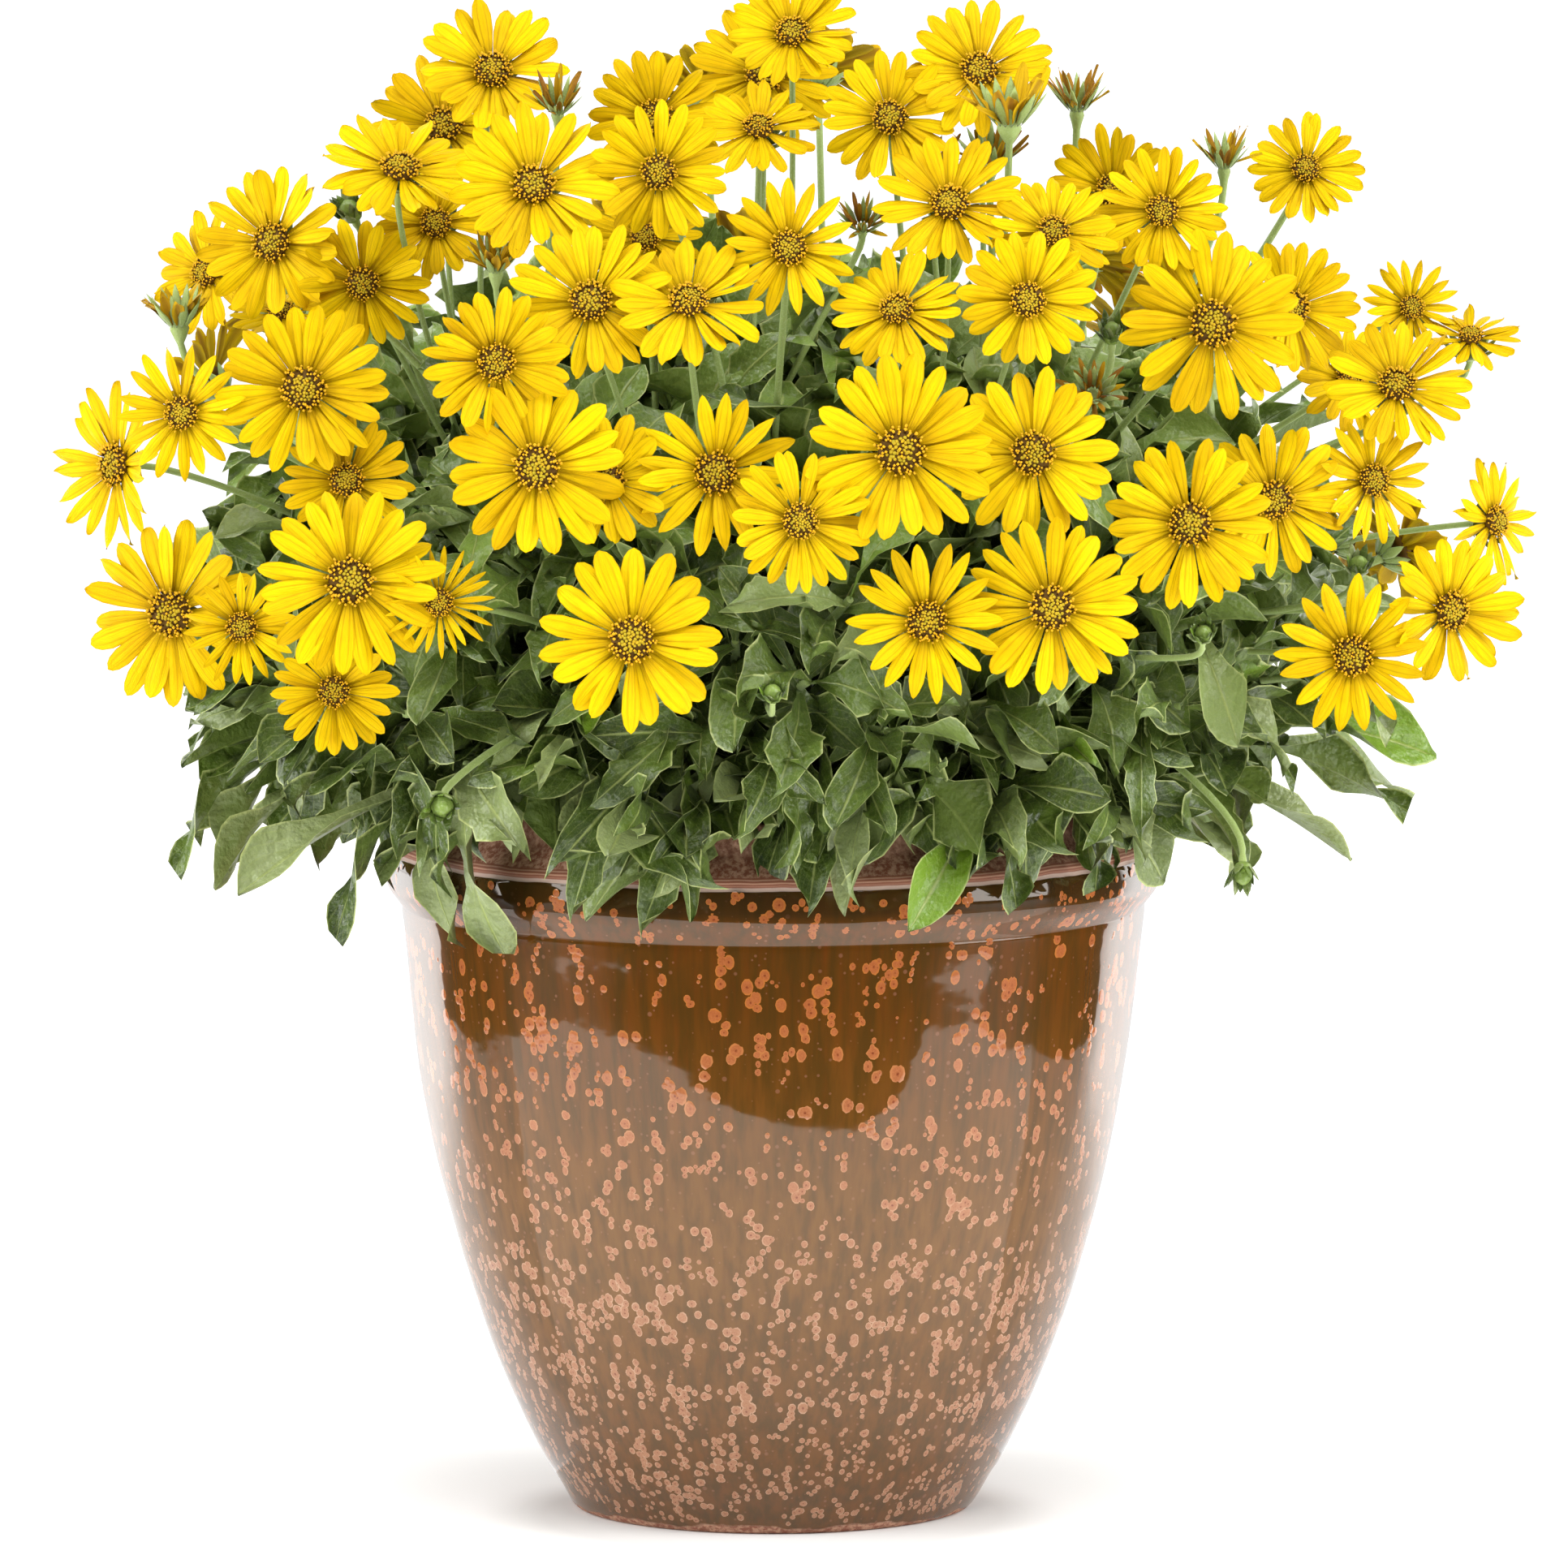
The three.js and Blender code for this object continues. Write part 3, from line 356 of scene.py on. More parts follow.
def makeWorld():
    world = bpy.data.worlds.new("studio")
    world.use_nodes = True
    bpy.context.scene.world = world
    net = Net(world.node_tree)
    _, y, _ = net.axes(net.add("ShaderNodeTexCoord", out="Generated"))
    edge = studio["backFrom"]
    soft = studio["backSoft"]
    behind = net.ramp(y, edge - soft, edge + soft, studio["frontGlow"], backGlow(net, y))
    rays = net.add("ShaderNodeLightPath").node.outputs
    level = studio["ambient"]
    for ray, strength in (("Is Camera Ray", studio["skyStrength"]), ("Is Glossy Ray", behind)):
        level = net.add("ShaderNodeMix", {"Factor": rays[ray], "A": level, "B": strength}, "Result")
    net.fill(world.node_tree.nodes["Background"], {"Strength": level, "Color": (1, 1, 1)})


makeCamera()
makeFloor()
makeCards()
makeWorld()
for panel in studio["panels"]:
    makeLight(*panel)
bpy.context.scene.view_settings.view_transform = "Standard"
print("camera and studio ready")


def newGroup(name, inputs):
    # a group of nodes that gives one mask
    group = bpy.data.node_groups.new(name, "ShaderNodeTree")
    for label, value in inputs.items():
        socket = group.interface.new_socket(label, in_out="INPUT", socket_type="NodeSocketFloat")
        socket.default_value = value
    group.interface.new_socket("Mask", in_out="OUTPUT", socket_type="NodeSocketFloat")
    return group, Net(group), group.nodes.new("NodeGroupInput").outputs, group.nodes.new("NodeGroupOutput")


def makeMottleGroup():
    # two sizes of soft blotches, between 0 and 1
    group, net, given, out = newGroup("mottle", {"Large Scale": 40.0, "Small Scale": 300.0})
    total = net.plus(net.noise(given["Large Scale"]), net.noise(given["Small Scale"]))
    net.fill(out, {"Mask": net.ramp(total, 0.7, 1.3)})
    return group


def makeHairGlintGroup():
    # pale specks of short hairs: partly their own pale colour, partly painted glints where they catch the
    # light
    group, net, given, out = newGroup("hair specks", {"Scale": 1500.0, "Amount": 0.4})
    fine = net.ramp(net.noise(given["Scale"], 2), 0.52, 0.72)
    net.fill(out, {"Mask": net.times(fine, given["Amount"])})
    return group


mottleGroup = makeMottleGroup()
hairGlintGroup = makeHairGlintGroup()


petalFinishSettings = {
    "bright": (0.92, 0.64, 0.0),
    "golden": (0.70, 0.405, 0.0),
    # painted shade: the colour of the petal in its folds and grooves
    "fold": (0.28, 0.15, 0.0),
    "under": (0.66, 0.42, 0.01),
    "bronze": (0.27, 0.11, 0.02),
    "roughness": 0.5,
    "specular": 0.07,
}


def makePetalFinish():
    material, net, shader = newFinish("petal", petalFinishSettings)
    along = net.layer("along")
    beside = net.layer("across")
    across = net.size(beside)
    tint = net.layer("tint")
    lines = {"X": net.times(beside, 5.0), "Y": net.times(along, 0.9), "Z": net.times(tint, 37.0)}
    streak = net.noise(2.2, 2, vector=net.add("ShaderNodeCombineXYZ", lines))
    mottle = net.group(mottleGroup, {"Large Scale": 18.0, "Small Scale": 120.0})
    top = net.mix(net.times(net.plus(mottle, tint), 0.5), "bright", "golden")
    # painted shade in the grooves and along the fine lines, stronger towards the root
    dark = net.most(net.ramp(streak, 0.54, 0.72, 0.0, 0.5), net.ridge(across, 0.42, 0.16, 0.0, 0.5, True))
    dark = net.times(dark, net.ramp(along, 1.0, 0.2, 0.2, 1.0))
    # painted shade where the petals meet the disc
    root = net.ramp(along, 0.28, 0.0, 0.0, 0.55, True)
    # darker rim: partly the petal's own darker edge, partly painted shade of the curled-up edge
    margin = net.ramp(across, 0.86, 0.98, 0.0, 0.45)
    for share in (dark, root, margin):
        top = net.mix(share, top, "fold")
    stripe = net.ramp(across, 0.75, 0.1, 0.0, 1.0, True)
    bottom = net.mix(net.times(stripe, net.ramp(tint, 0.2, 1.0, 0.15, 0.8)), "under", "bronze")
    color = net.mix(net.layer("under"), top, bottom)
    color = net.mix(net.layer("aged"), color, "bronze")
    net.fill(shader, {"Base Color": color, "Roughness": "roughness", "Specular IOR Level": "specular"})
    net.fill(shader, {"Normal": net.bump(streak, 0.5, 0.0008)})
    return material


discFinishSettings = {
    "gap": (0.115, 0.055, 0.003),
    "anther": (0.07, 0.026, 0.003),
    "pollen": (0.80, 0.42, 0.006),
    "bead": (0.46, 0.36, 0.018),
    "roughness": 0.6,
    "specular": 0.2,
}


def makeDiscFinish():
    material, net, shader = newFinish("flower disc", discFinishSettings)
    tint = net.layer("tint")
    tip = net.mix(tint, "bead", "pollen")
    side = net.mix(net.ramp(tint, 0.3, 0.6), "gap", "anther")
    color = net.mix(net.ramp(net.layer("along"), 0.3, 0.62, 0.0, 1.0, True), side, tip)
    color = net.mix(net.layer("aged"), color, "anther")
    net.fill(shader, {"Base Color": color, "Roughness": "roughness", "Specular IOR Level": "specular"})
    return material


leafFinishSettings = {
    "deep": (0.014, 0.034, 0.003),
    "middle": (0.135, 0.215, 0.016),
    "fresh": (0.15, 0.27, 0.010),
    "young": (0.22, 0.34, 0.05),
    # painted sheen: a pale silvery tone on some leaves that stands for their highlights
    "paintedSilverSheen": (0.36, 0.42, 0.18),
    "rib": (0.36, 0.43, 0.12),
    "margin": (0.45, 0.51, 0.18),
    # pale hairs, partly painted glints
    "hair": (0.52, 0.55, 0.28),
    "under": (0.14, 0.20, 0.035),
    "roughness": 0.36,
    "specular": 0.7,
    "sheen": 0.03,
}


def makeLeafFinish():
    material, net, shader = newFinish("leaf", leafFinishSettings)
    along = net.layer("along")
    across = net.size(net.layer("across"))
    tint = net.layer("tint")
    mottle = net.group(mottleGroup, {"Large Scale": 30.0, "Small Scale": 260.0})
    color = net.mix(net.times(net.plus(mottle, tint), 0.5), "deep", "middle")
    wave = net.math("SINE", net.times(net.plus(net.times(across, -0.5), along), 44.0))
    rib = net.ramp(across, 0.09, 0.02, 0.0, 0.75)
    layers = (
        (net.ramp(tint, 0.9, 0.97), "fresh"),
        # painted sheen on the leaves whose tint lies near 0.72
        (net.ridge(tint, 0.72, 0.16, 0.08, 0.6), "paintedSilverSheen"),
        (net.layer("aged"), "young"),
        (net.most(net.ramp(wave, 0.86, 1.0, 0.0, 0.2), rib), "rib"),
        (net.group(hairGlintGroup, {"Scale": 1700.0, "Amount": 0.15}), "hair"),
        (net.times(net.layer("under"), 0.7), "under"),
        (net.ramp(across, 0.92, 0.99), "margin"),
    )
    for share, tone in layers:
        color = net.mix(share, color, tone)
    height = net.plus(net.noise(900, 2), net.times(rib, -1.5))
    height = net.plus(height, net.times(net.noise(170, 2), 7.0))
    net.fill(shader, {"Base Color": color, "Roughness": "roughness", "Specular IOR Level": "specular"})
    net.fill(shader, {"Sheen Weight": "sheen", "Normal": net.bump(height, 0.6, 0.0005)})
    return material


stalkFinishSettings = {
    "foot": (0.14, 0.21, 0.04),
    "top": (0.36, 0.47, 0.13),
    # pale hairs, partly painted glints
    "hair": (0.52, 0.58, 0.36),
    "roughness": 0.55,
    "sheen": 0.15,
}


def makeStalkFinish():
    material, net, shader = newFinish("stalk", stalkFinishSettings)
    color = net.mix(net.layer("along"), "foot", "top")
    color = net.mix(net.times(net.layer("tint"), 0.35), color, "foot")
    color = net.mix(net.group(hairGlintGroup, {"Scale": 1600.0, "Amount": 0.28}), color, "hair")
    net.fill(shader, {"Base Color": color, "Roughness": "roughness", "Sheen Weight": "sheen"})
    net.fill(shader, {"Normal": net.bump(net.noise(1200, 2), 0.5, 0.0004)})
    return material


soilFinishSettings = {"dark": (0.018, 0.011, 0.007), "light": (0.085, 0.052, 0.030), "roughness": 0.95}


def makeSoilFinish():
    material, net, shader = newFinish("potting soil", soilFinishSettings)
    color = net.mix(net.group(mottleGroup, {"Large Scale": 60.0, "Small Scale": 600.0}), "dark", "light")
    bump = net.bump(net.noise(500, 5, 0.7), 0.9, 0.002)
    net.fill(shader, {"Base Color": color, "Roughness": "roughness", "Normal": bump})
    return material


potFinishSettings = {
    "amber": (0.104, 0.035, 0.004),
    "olive": (0.066, 0.029, 0.004),
    "rust": (0.118, 0.029, 0.004),
    # partly the glaze's own milky tone, partly a painted reflection of the lit floor
    "milky": (0.178, 0.082, 0.016),
    # painted shade and dark reflection on the upper roll under the leaves
    "paintedRollShade": (0.030, 0.017, 0.005),
    "speck": (0.24, 0.10, 0.055),
    "spot": (0.37, 0.115, 0.036),
    "spotDeep": (0.28, 0.078, 0.022),
    "spotRim": (0.45, 0.155, 0.025),
    "lowSpot": (0.38, 0.185, 0.10),
    "lowSpotDeep": (0.27, 0.115, 0.055),
    "lowSpotRim": (0.45, 0.26, 0.16),
    "spotHeart": (0.14, 0.022, 0.010),
    "pale": (0.46, 0.33, 0.27),
    "clay": (0.50, 0.28, 0.18),
    "clayDark": (0.22, 0.07, 0.035),
    "collar": (0.17, 0.06, 0.03),
    "inside": (0.22, 0.07, 0.03),
    # cells to the metre, seed, share of the cells with a speck
    "speckLayers": ((420, 91.7, 0.3), (260, 41.3, 0.24)),
    # levels in metres between which each one sets in
    "milkyFrom": (0.2, 0.1),
    "paintedRollShadeFrom": (0.2315, 0.2375),
    "paleFrom": (0.2449, 0.2452),
    "redFrom": (0.2462, 0.2466),
    "stripesFrom": (0.2468, 0.2471),
    "clayFrom": (0.2497, 0.2503),
    "collarFrom": (0.2555, 0.258),
    "footUpTo": (0.0030, 0.0020),
    "insideFrom": (0.2, 0.21),
    "insideWithin": (0.1262, 0.1255),
    "gloss": 0.05,
    "clayRoughness": 0.75,
    "refraction": 1.6,
    "reflection": (1.0, 0.93, 0.86),
}


def addSpecks(net, scale, seed, share):
    # faint round specks in random cells
    values = {"Location": (seed, 0.37 * seed, 0.71 * seed), "Vector": net.place()}
    values = {"Scale": scale, "Randomness": 0.8, "Vector": net.add("ShaderNodeMapping", values)}
    cells = net.add("ShaderNodeTexVoronoi", values).node.outputs
    tones = net.add("ShaderNodeSeparateColor", {"Color": cells["Color"]}).node.outputs
    near = net.math("DIVIDE", cells["Distance"], net.ramp(tones["Green"], 0, 1, 0.14, 0.3))
    return net.times(net.ramp(near, 1.0, 0.6, 0.0, 0.5, True), net.math("LESS_THAN", tones["Red"], share))


def makeGlaze(net, level, down):
    own = net.own
    streaks = net.noise(1.0, 3, 0.55, (230, 230, 8))
    fine = net.noise(1.0, 3, 0.6, (420, 420, 20))
    glaze = net.mix(net.ramp(streaks, 0.38, 0.62), "amber", "olive")
    glaze = net.mix(net.ramp(fine, 0.5, 0.75, 0.0, 0.4), glaze, "rust")
    # milky low down: partly the glaze's own tone, partly a painted reflection of the lit floor, weaker near
    # the foot where that floor is shaded
    milkyReflectionShare = net.times(down, net.ramp(level, 0.02, 0.13, 0.15, 0.7))
    milkyReflectionShare = net.times(milkyReflectionShare, net.ramp(streaks, 0.36, 0.64, 1.2, 0.55))
    glaze = net.mix(milkyReflectionShare, glaze, "milky")
    for scale, seed, share in own["speckLayers"]:
        glaze = net.mix(addSpecks(net, scale, seed, share), glaze, "speck")
    # darker up the roll: painted shade and dark reflection of the overhanging leaves
    return net.mix(net.ramp(level, *own["paintedRollShadeFrom"], 0.0, 0.75, True), glaze, "paintedRollShade")


def makeSpotColor(net, near, down):
    # the crystal spots: red heart, salmon field, darker ring, pale rim
    fibres = net.noise(1500, 3, 0.7)
    around = net.shaken(near, fibres, 0.12)
    grain = net.ramp(fibres, 0.35, 0.7)
    spot = net.mix(grain, "spot", "spotDeep")
    spot = net.mix(net.ramp(around, 0.62, 0.9, 0.0, 0.6, True), spot, "spotRim")
    lowSpot = net.mix(grain, "lowSpot", "lowSpotDeep")
    lowSpot = net.mix(net.ramp(around, 0.6, 0.8, 0.0, 0.8, True), lowSpot, "lowSpotRim")
    lowSpot = net.mix(net.times(net.ridge(around, 0.66, 0.1, 0.02), 0.5), lowSpot, "lowSpotDeep")
    heart = net.times(net.ramp(around, 0.24, 0.08, 0.0, 0.85), net.ramp(net.layer("tint"), 0.25, 0.45))
    return net.mix(heart, net.mix(down, spot, lowSpot), "spotHeart")


def makePotFinish():
    own = potFinishSettings
    material, net, shader = newFinish("speckled glaze", own)
    x, y, level = net.axes(net.place())
    wobble = net.noise(26, 3, 0.6)
    ragged = net.shaken(level, wobble, 0.0022)
    line = net.shaken(level, wobble, 0.0005)
    down = net.ramp(level, *own["milkyFrom"])
    near = net.layer("near")
    spot = makeSpotColor(net, near, down)
    glaze = net.mix(net.math("LESS_THAN", near, 1.5), makeGlaze(net, level, down), spot)

    grain = net.noise(480, 4, 0.7)
    clay = net.mix(net.ramp(grain, 0.42, 0.6), "clayDark", "clay")
    patchy = net.ramp(net.plus(net.noise(110, 4, 0.6), grain), 0.85, 1.25)
    collar = net.mix(patchy, "collar", "clay")

    # from the glaze up: pale line, dark red lines, bare clay, collar and lip
    above = net.ramp(line, *own["paleFrom"])
    stripes = net.ramp(net.math("SINE", net.times(line, 5200)), -0.2, 0.7, 0.0, 0.7)
    flat = net.add("ShaderNodeCombineXYZ", {"X": x, "Y": y})
    within = net.ramp(net.distance(flat, 0, 0), *own["insideWithin"])
    foot = net.ramp(ragged, *own["footUpTo"])
    color = glaze
    zones = (
        (above, "pale"),
        (net.ramp(line, *own["redFrom"]), "clayDark"),
        (net.times(net.ramp(line, *own["stripesFrom"]), stripes), "clay"),
        (net.ramp(line, *own["clayFrom"]), clay),
        (net.ramp(ragged, *own["collarFrom"]), collar),
        (net.times(within, net.ramp(level, *own["insideFrom"])), "inside"),
        (foot, clay),
    )
    for share, tone in zones:
        color = net.mix(share, color, tone)

    bare = net.most(above, foot)
    rough = net.ramp(bare, 0.0, 1.0, own["gloss"], own["clayRoughness"])
    height = net.plus(net.noise(60, 2), net.times(net.times(grain, bare), 3.0))
    net.fill(shader, {"Base Color": color, "Roughness": rough, "IOR": "refraction"})
    net.fill(shader, {"Specular Tint": "reflection", "Normal": net.bump(height, 0.16, 0.001)})
    return material


petalFinish = makePetalFinish()
discFinish = makeDiscFinish()
leafFinish = makeLeafFinish()
stalkFinish = makeStalkFinish()
soilFinish = makeSoilFinish()
potFinish = makePotFinish()
print("finishes ready")


def sheetShape(name, top, across, thickness):
    # a thin closed leaf of rows by columns of points, whose two faces meet in a sharp rim
    rows, columns = top.shape[:2]
    points = list(top.reshape(-1, 3))
    alongs = [row / (rows - 1) for row in range(rows) for _ in range(columns)]
    acrosses = list(across) * rows
    below = {}
    for row in range(1, rows - 1):
        for column in range(1, columns - 1):
            below[row, column] = len(points)
            points.append(top[row, column] - thickness * up)
            alongs.append(row / (rows - 1))
            acrosses.append(across[column])
    unders = [0.0] * (rows * columns) + [1.0] * len(below)
    upper = []
    lower = []
    for row in range(rows - 1):
        for column in range(columns - 1):
            ring = [(row, column), (row, column + 1), (row + 1, column + 1), (row + 1, column)]
            corners = [place[0] * columns + place[1] for place in ring]
            upper.append(corners[1:] + corners[:1])
            lower.append([below.get(place, corner) for place, corner in zip(ring, corners)][::-1])
    layers = {"along": alongs, "across": acrosses, "under": unders}
    shape = makeObject(name, points, upper + lower, layers=layers)
    rim = sidesOf(upper) & sidesOf(lower)
    for edge in shape.data.edges:
        edge.use_edge_sharp = tuple(sorted(edge.vertices)) in rim
    return shape


def sidesOf(faces):
    return {tuple(sorted(pair)) for face in faces for pair in zip(face, face[1:] + face[:1])}


petalShapes = {
    "stations": (0, 0.22, 0.47, 0.71, 0.87, 0.955, 1.0),
    "broad": (0.34, 0.62, 0.91, 1.0, 0.80, 0.48, 0.13),
    "narrow": (0.46, 0.74, 0.98, 0.90, 0.58, 0.29, 0.05),
    "across": (-1, -0.48, 0, 0.48, 1),
    "groove": (0, 0.11, 0, 0.11, 0),
    "notch": 0.012,
    "bend": 0.05,
    "camber": {"broad": 0.15, "narrow": 0.24},
    "curls": (0.30, -0.25, -0.60, 0.05, -0.40, 0.45),
    "rolls": (0.10, -0.14, 0.20, -0.22, 0.0, 0.16),
    "thickness": 0.035,
}


def petalShape(name, outline, variant):
    own = petalShapes
    top = np.zeros((len(own["stations"]), len(own["across"]), 3))
    for row, (station, half) in enumerate(zip(own["stations"], own[outline])):
        swell = sin(pi * min(1.0, 0.1 + 0.95 * station))
        for column, share in enumerate(own["across"]):
            notch = own["notch"] * abs(share) if row == len(own["stations"]) - 1 else 0
            ridge = own["camber"][outline] * (1 - share * share) - own["groove"][column]
            lift = own["curls"][variant] * station * station + own["rolls"][variant] * share * station
            bend = own["bend"] * (variant % 3 - 1) * station * station
            top[row, column] = (station - notch, 0.5 * half * share + bend, ridge * swell + lift)
    return sheetShape(name, top, own["across"], own["thickness"])


leafShapes = {
    "stations": (0, 0.20, 0.38, 0.45, 0.59, 0.65, 0.75, 0.81, 0.89, 0.95, 1.0),
    "toothed": (0.13, 0.26, 0.62, 0.58, 0.98, 0.84, 1.0, 0.76, 0.64, 0.34, 0.03),
    "plain": (0.13, 0.26, 0.53, 0.66, 0.90, 0.96, 0.97, 0.87, 0.66, 0.38, 0.03),
    "plainVariants": (2, 5),
    "across": (-1, -0.62, 0, 0.62, 1),
    "uneven": 0.12,
    "arch": 0.25,
    "thickness": 0.035,
    # fold along the rib, curl of the tip, twist, edge wave, phase
    "bends": (
        (0.55, -0.80, 0.10, 0.30, 0.0),
        (0.25, -1.70, 0.35, 0.42, 1.3),
        (0.80, 0.50, -0.20, 0.22, 2.1),
        (0.15, -2.40, 0.10, 0.40, 3.0),
        (0.40, -0.50, -0.45, 0.46, 4.2),
        (0.65, -1.30, 0.30, 0.34, 5.1),
    ),
}


def leafShape(name, variant):
    own = leafShapes
    fold, curl, twist, wave, phase = own["bends"][variant]
    outline = own["plain"] if variant in own["plainVariants"] else own["toothed"]
    top = np.zeros((len(own["stations"]), len(own["across"]), 3))
    for row, (station, half) in enumerate(zip(own["stations"], outline)):
        for column, share in enumerate(own["across"]):
            side = 0.5 * half * share
            uneven = 1 + own["uneven"] * sin(5 * station + 2.3 * variant + share)
            ripple = wave * sin(9 * station + phase + 1.6 * share) * share * share * min(1, 1.6 * station)
            height = fold * abs(side) + curl * 0.5 * station ** 2 + ripple + twist * side * 2 * station
            height += own["arch"] * sin(pi * station)
            top[row, column] = (station, side * uneven, height)
    return sheetShape(name, top, own["across"], own["thickness"])


def lathedShape(name, sides, flatten, *profile):
    # a closed form along +X whose ends are single points
    points = []
    for place, radius, _ in profile:
        for angle in steps(sides if radius else 1):
            points.append((place, radius * cos(angle), flatten * radius * sin(angle)))
    values = [along for _, radius, along in profile for _ in range(sides if radius else 1)]
    faces = []
    rings = len(profile) - 2
    for side in range(sides):
        after = (side + 1) % sides
        faces.append((0, 1 + after, 1 + side))
        for first in range(1, 1 + (rings - 1) * sides, sides):
            faces.append((first + side, first + after, first + sides + after, first + sides + side))
        last = 1 + (rings - 1) * sides
        faces.append((last + side, last + after, len(points) - 1))
    layers = {"along": values, "across": [0.6] * len(points), "under": [0.0] * len(points)}
    return makeObject(name, points, faces, layers=layers)


# where each kind starts in the list of shapes; petals and leaves come in variants
variants = 6
kinds = {"broad": 0, "narrow": variants, "quill": variants, "leaf": 2 * variants}
# sides, flattening, then place, radius and share of the way to the tip of each ring
smallShapes = {
    "dome": (
        20, 1, (-0.35, 0, 0), (-0.3, 0.7, 0), (0, 1, 0), (0.2, 0.93, 0.1), (0.36, 0.7, 0.2),
        (0.46, 0.36, 0.2), (0.5, 0, 0.2),
    ),
    "bead": (6, 1, (-0.6, 0, 0), (0.15, 0.5, 0.75), (0.62, 0, 1)),
    "anther": (4, 1, (-0.5, 0, 0), (-0.1, 0.22, 0), (0.85, 0.33, 0.75), (1.1, 0, 1)),
    "bract": (6, 0.22, (0, 0, 0.2), (0.12, 0.55, 0.4), (0.45, 1, 0.7), (0.8, 0.5, 1), (1, 0, 1)),
    "bud": (
        10, 1, (0, 0, 0.3), (0.1, 0.42, 0.4), (0.35, 0.52, 0.6), (0.65, 0.44, 0.8), (0.9, 0.2, 1),
        (1, 0, 1),
    ),
    "hair": (3, 1, (0, 0, 1), (0.06, 0.5, 1), (1, 0, 1)),
}


def makeShapes():
    made = [petalShape(f"k{i:02d}_broad", "broad", i) for i in range(variants)]
    made += [petalShape(f"k{i + kinds['narrow']:02d}_narrow", "narrow", i) for i in range(variants)]
    made += [leafShape(f"k{i + kinds['leaf']}_leaf", i) for i in range(variants)]
    for kind, form in smallShapes.items():
        kinds[kind] = len(made)
        made.append(lathedShape(f"k{len(made)}_{kind}", *form))
    collection = bpy.data.collections.new("shapes")
    bpy.context.scene.collection.children.link(collection)
    for shape in made:
        bpy.context.scene.collection.objects.unlink(shape)
        collection.objects.link(shape)
    return collection


shapes = makeShapes()
finishNumbers = {"petal": 0, "disc": 1, "leaf": 2, "stalk": 3}
finishInputs = ("First Finish", "Second Finish", "Third Finish", "Fourth Finish")
stalkSides = 7


def makeGrowTree():
    # one tree of nodes sets the shapes on points and runs stalks along lines
    tree = bpy.data.node_groups.new("grow", "GeometryNodeTree")
    net = Net(tree)
    addSocket = tree.interface.new_socket
    addSocket("Geometry", in_out="OUTPUT", socket_type="NodeSocketGeometry")
    addSocket("Geometry", in_out="INPUT", socket_type="NodeSocketGeometry")
    addSocket("Shapes", in_out="INPUT", socket_type="NodeSocketCollection")
    addSocket("Stalk Sides", in_out="INPUT", socket_type="NodeSocketInt").default_value = stalkSides
    for label in finishInputs:
        addSocket(label, in_out="INPUT", socket_type="NodeSocketMaterial")
    given = tree.nodes.new("NodeGroupInput").outputs

    def named(label, kind="FLOAT"):
        return net.add("GeometryNodeInputNamedAttribute", {"Name": label}, "Attribute", data_type=kind)

    def compare(operation, *values):
        inputs = dict(enumerate(values, 2))
        return net.add("FunctionNodeCompare", inputs, "Result", data_type="INT", operation=operation)

    curve = net.add("GeometryNodeMeshToCurve", {"Mesh": given["Geometry"]}, "Curve")
    circle = {"Radius": 1, "Resolution": given["Stalk Sides"]}
    circle = net.add("GeometryNodeCurvePrimitiveCircle", circle, "Curve")
    tube = {"Curve": curve, "Profile Curve": circle, "Scale": named("thickness"), "Fill Caps": True}
    tube = net.add("GeometryNodeCurveToMesh", tube, "Mesh")
    smooth = net.add("GeometryNodeSetShadeSmooth", {"Geometry": tube}, "Geometry")

    pick = {"Collection": given["Shapes"], "Separate Children": True, "Reset Children": True}
    pick = net.add("GeometryNodeCollectionInfo", pick, "Instances", transform_space="ORIGINAL")
    kind = named("kind", "INT")
    place = {
        "Points": given["Geometry"],
        "Selection": compare("GREATER_EQUAL", kind),
        "Instance": pick,
        "Pick Instance": True,
        "Instance Index": kind,
        "Rotation": net.add("FunctionNodeEulerToRotation", {"Euler": named("turn", "FLOAT_VECTOR")}),
        "Scale": named("size", "FLOAT_VECTOR"),
    }
    place = net.add("GeometryNodeInstanceOnPoints", place, "Instances")

    both = net.add("GeometryNodeJoinGeometry", {"Geometry": smooth}).node
    net.fill(both, {"Geometry": place})
    last = net.add("GeometryNodeRealizeInstances", {"Geometry": both.outputs["Geometry"]})
    finish = named("finish", "INT")
    for number, label in enumerate(finishInputs):
        values = {"Geometry": last, "Selection": compare("EQUAL", finish, number), "Material": given[label]}
        last = net.add("GeometryNodeSetMaterial", values)
    net.fill(tree.nodes.new("NodeGroupOutput"), {"Geometry": last})
    return tree


growTree = makeGrowTree()


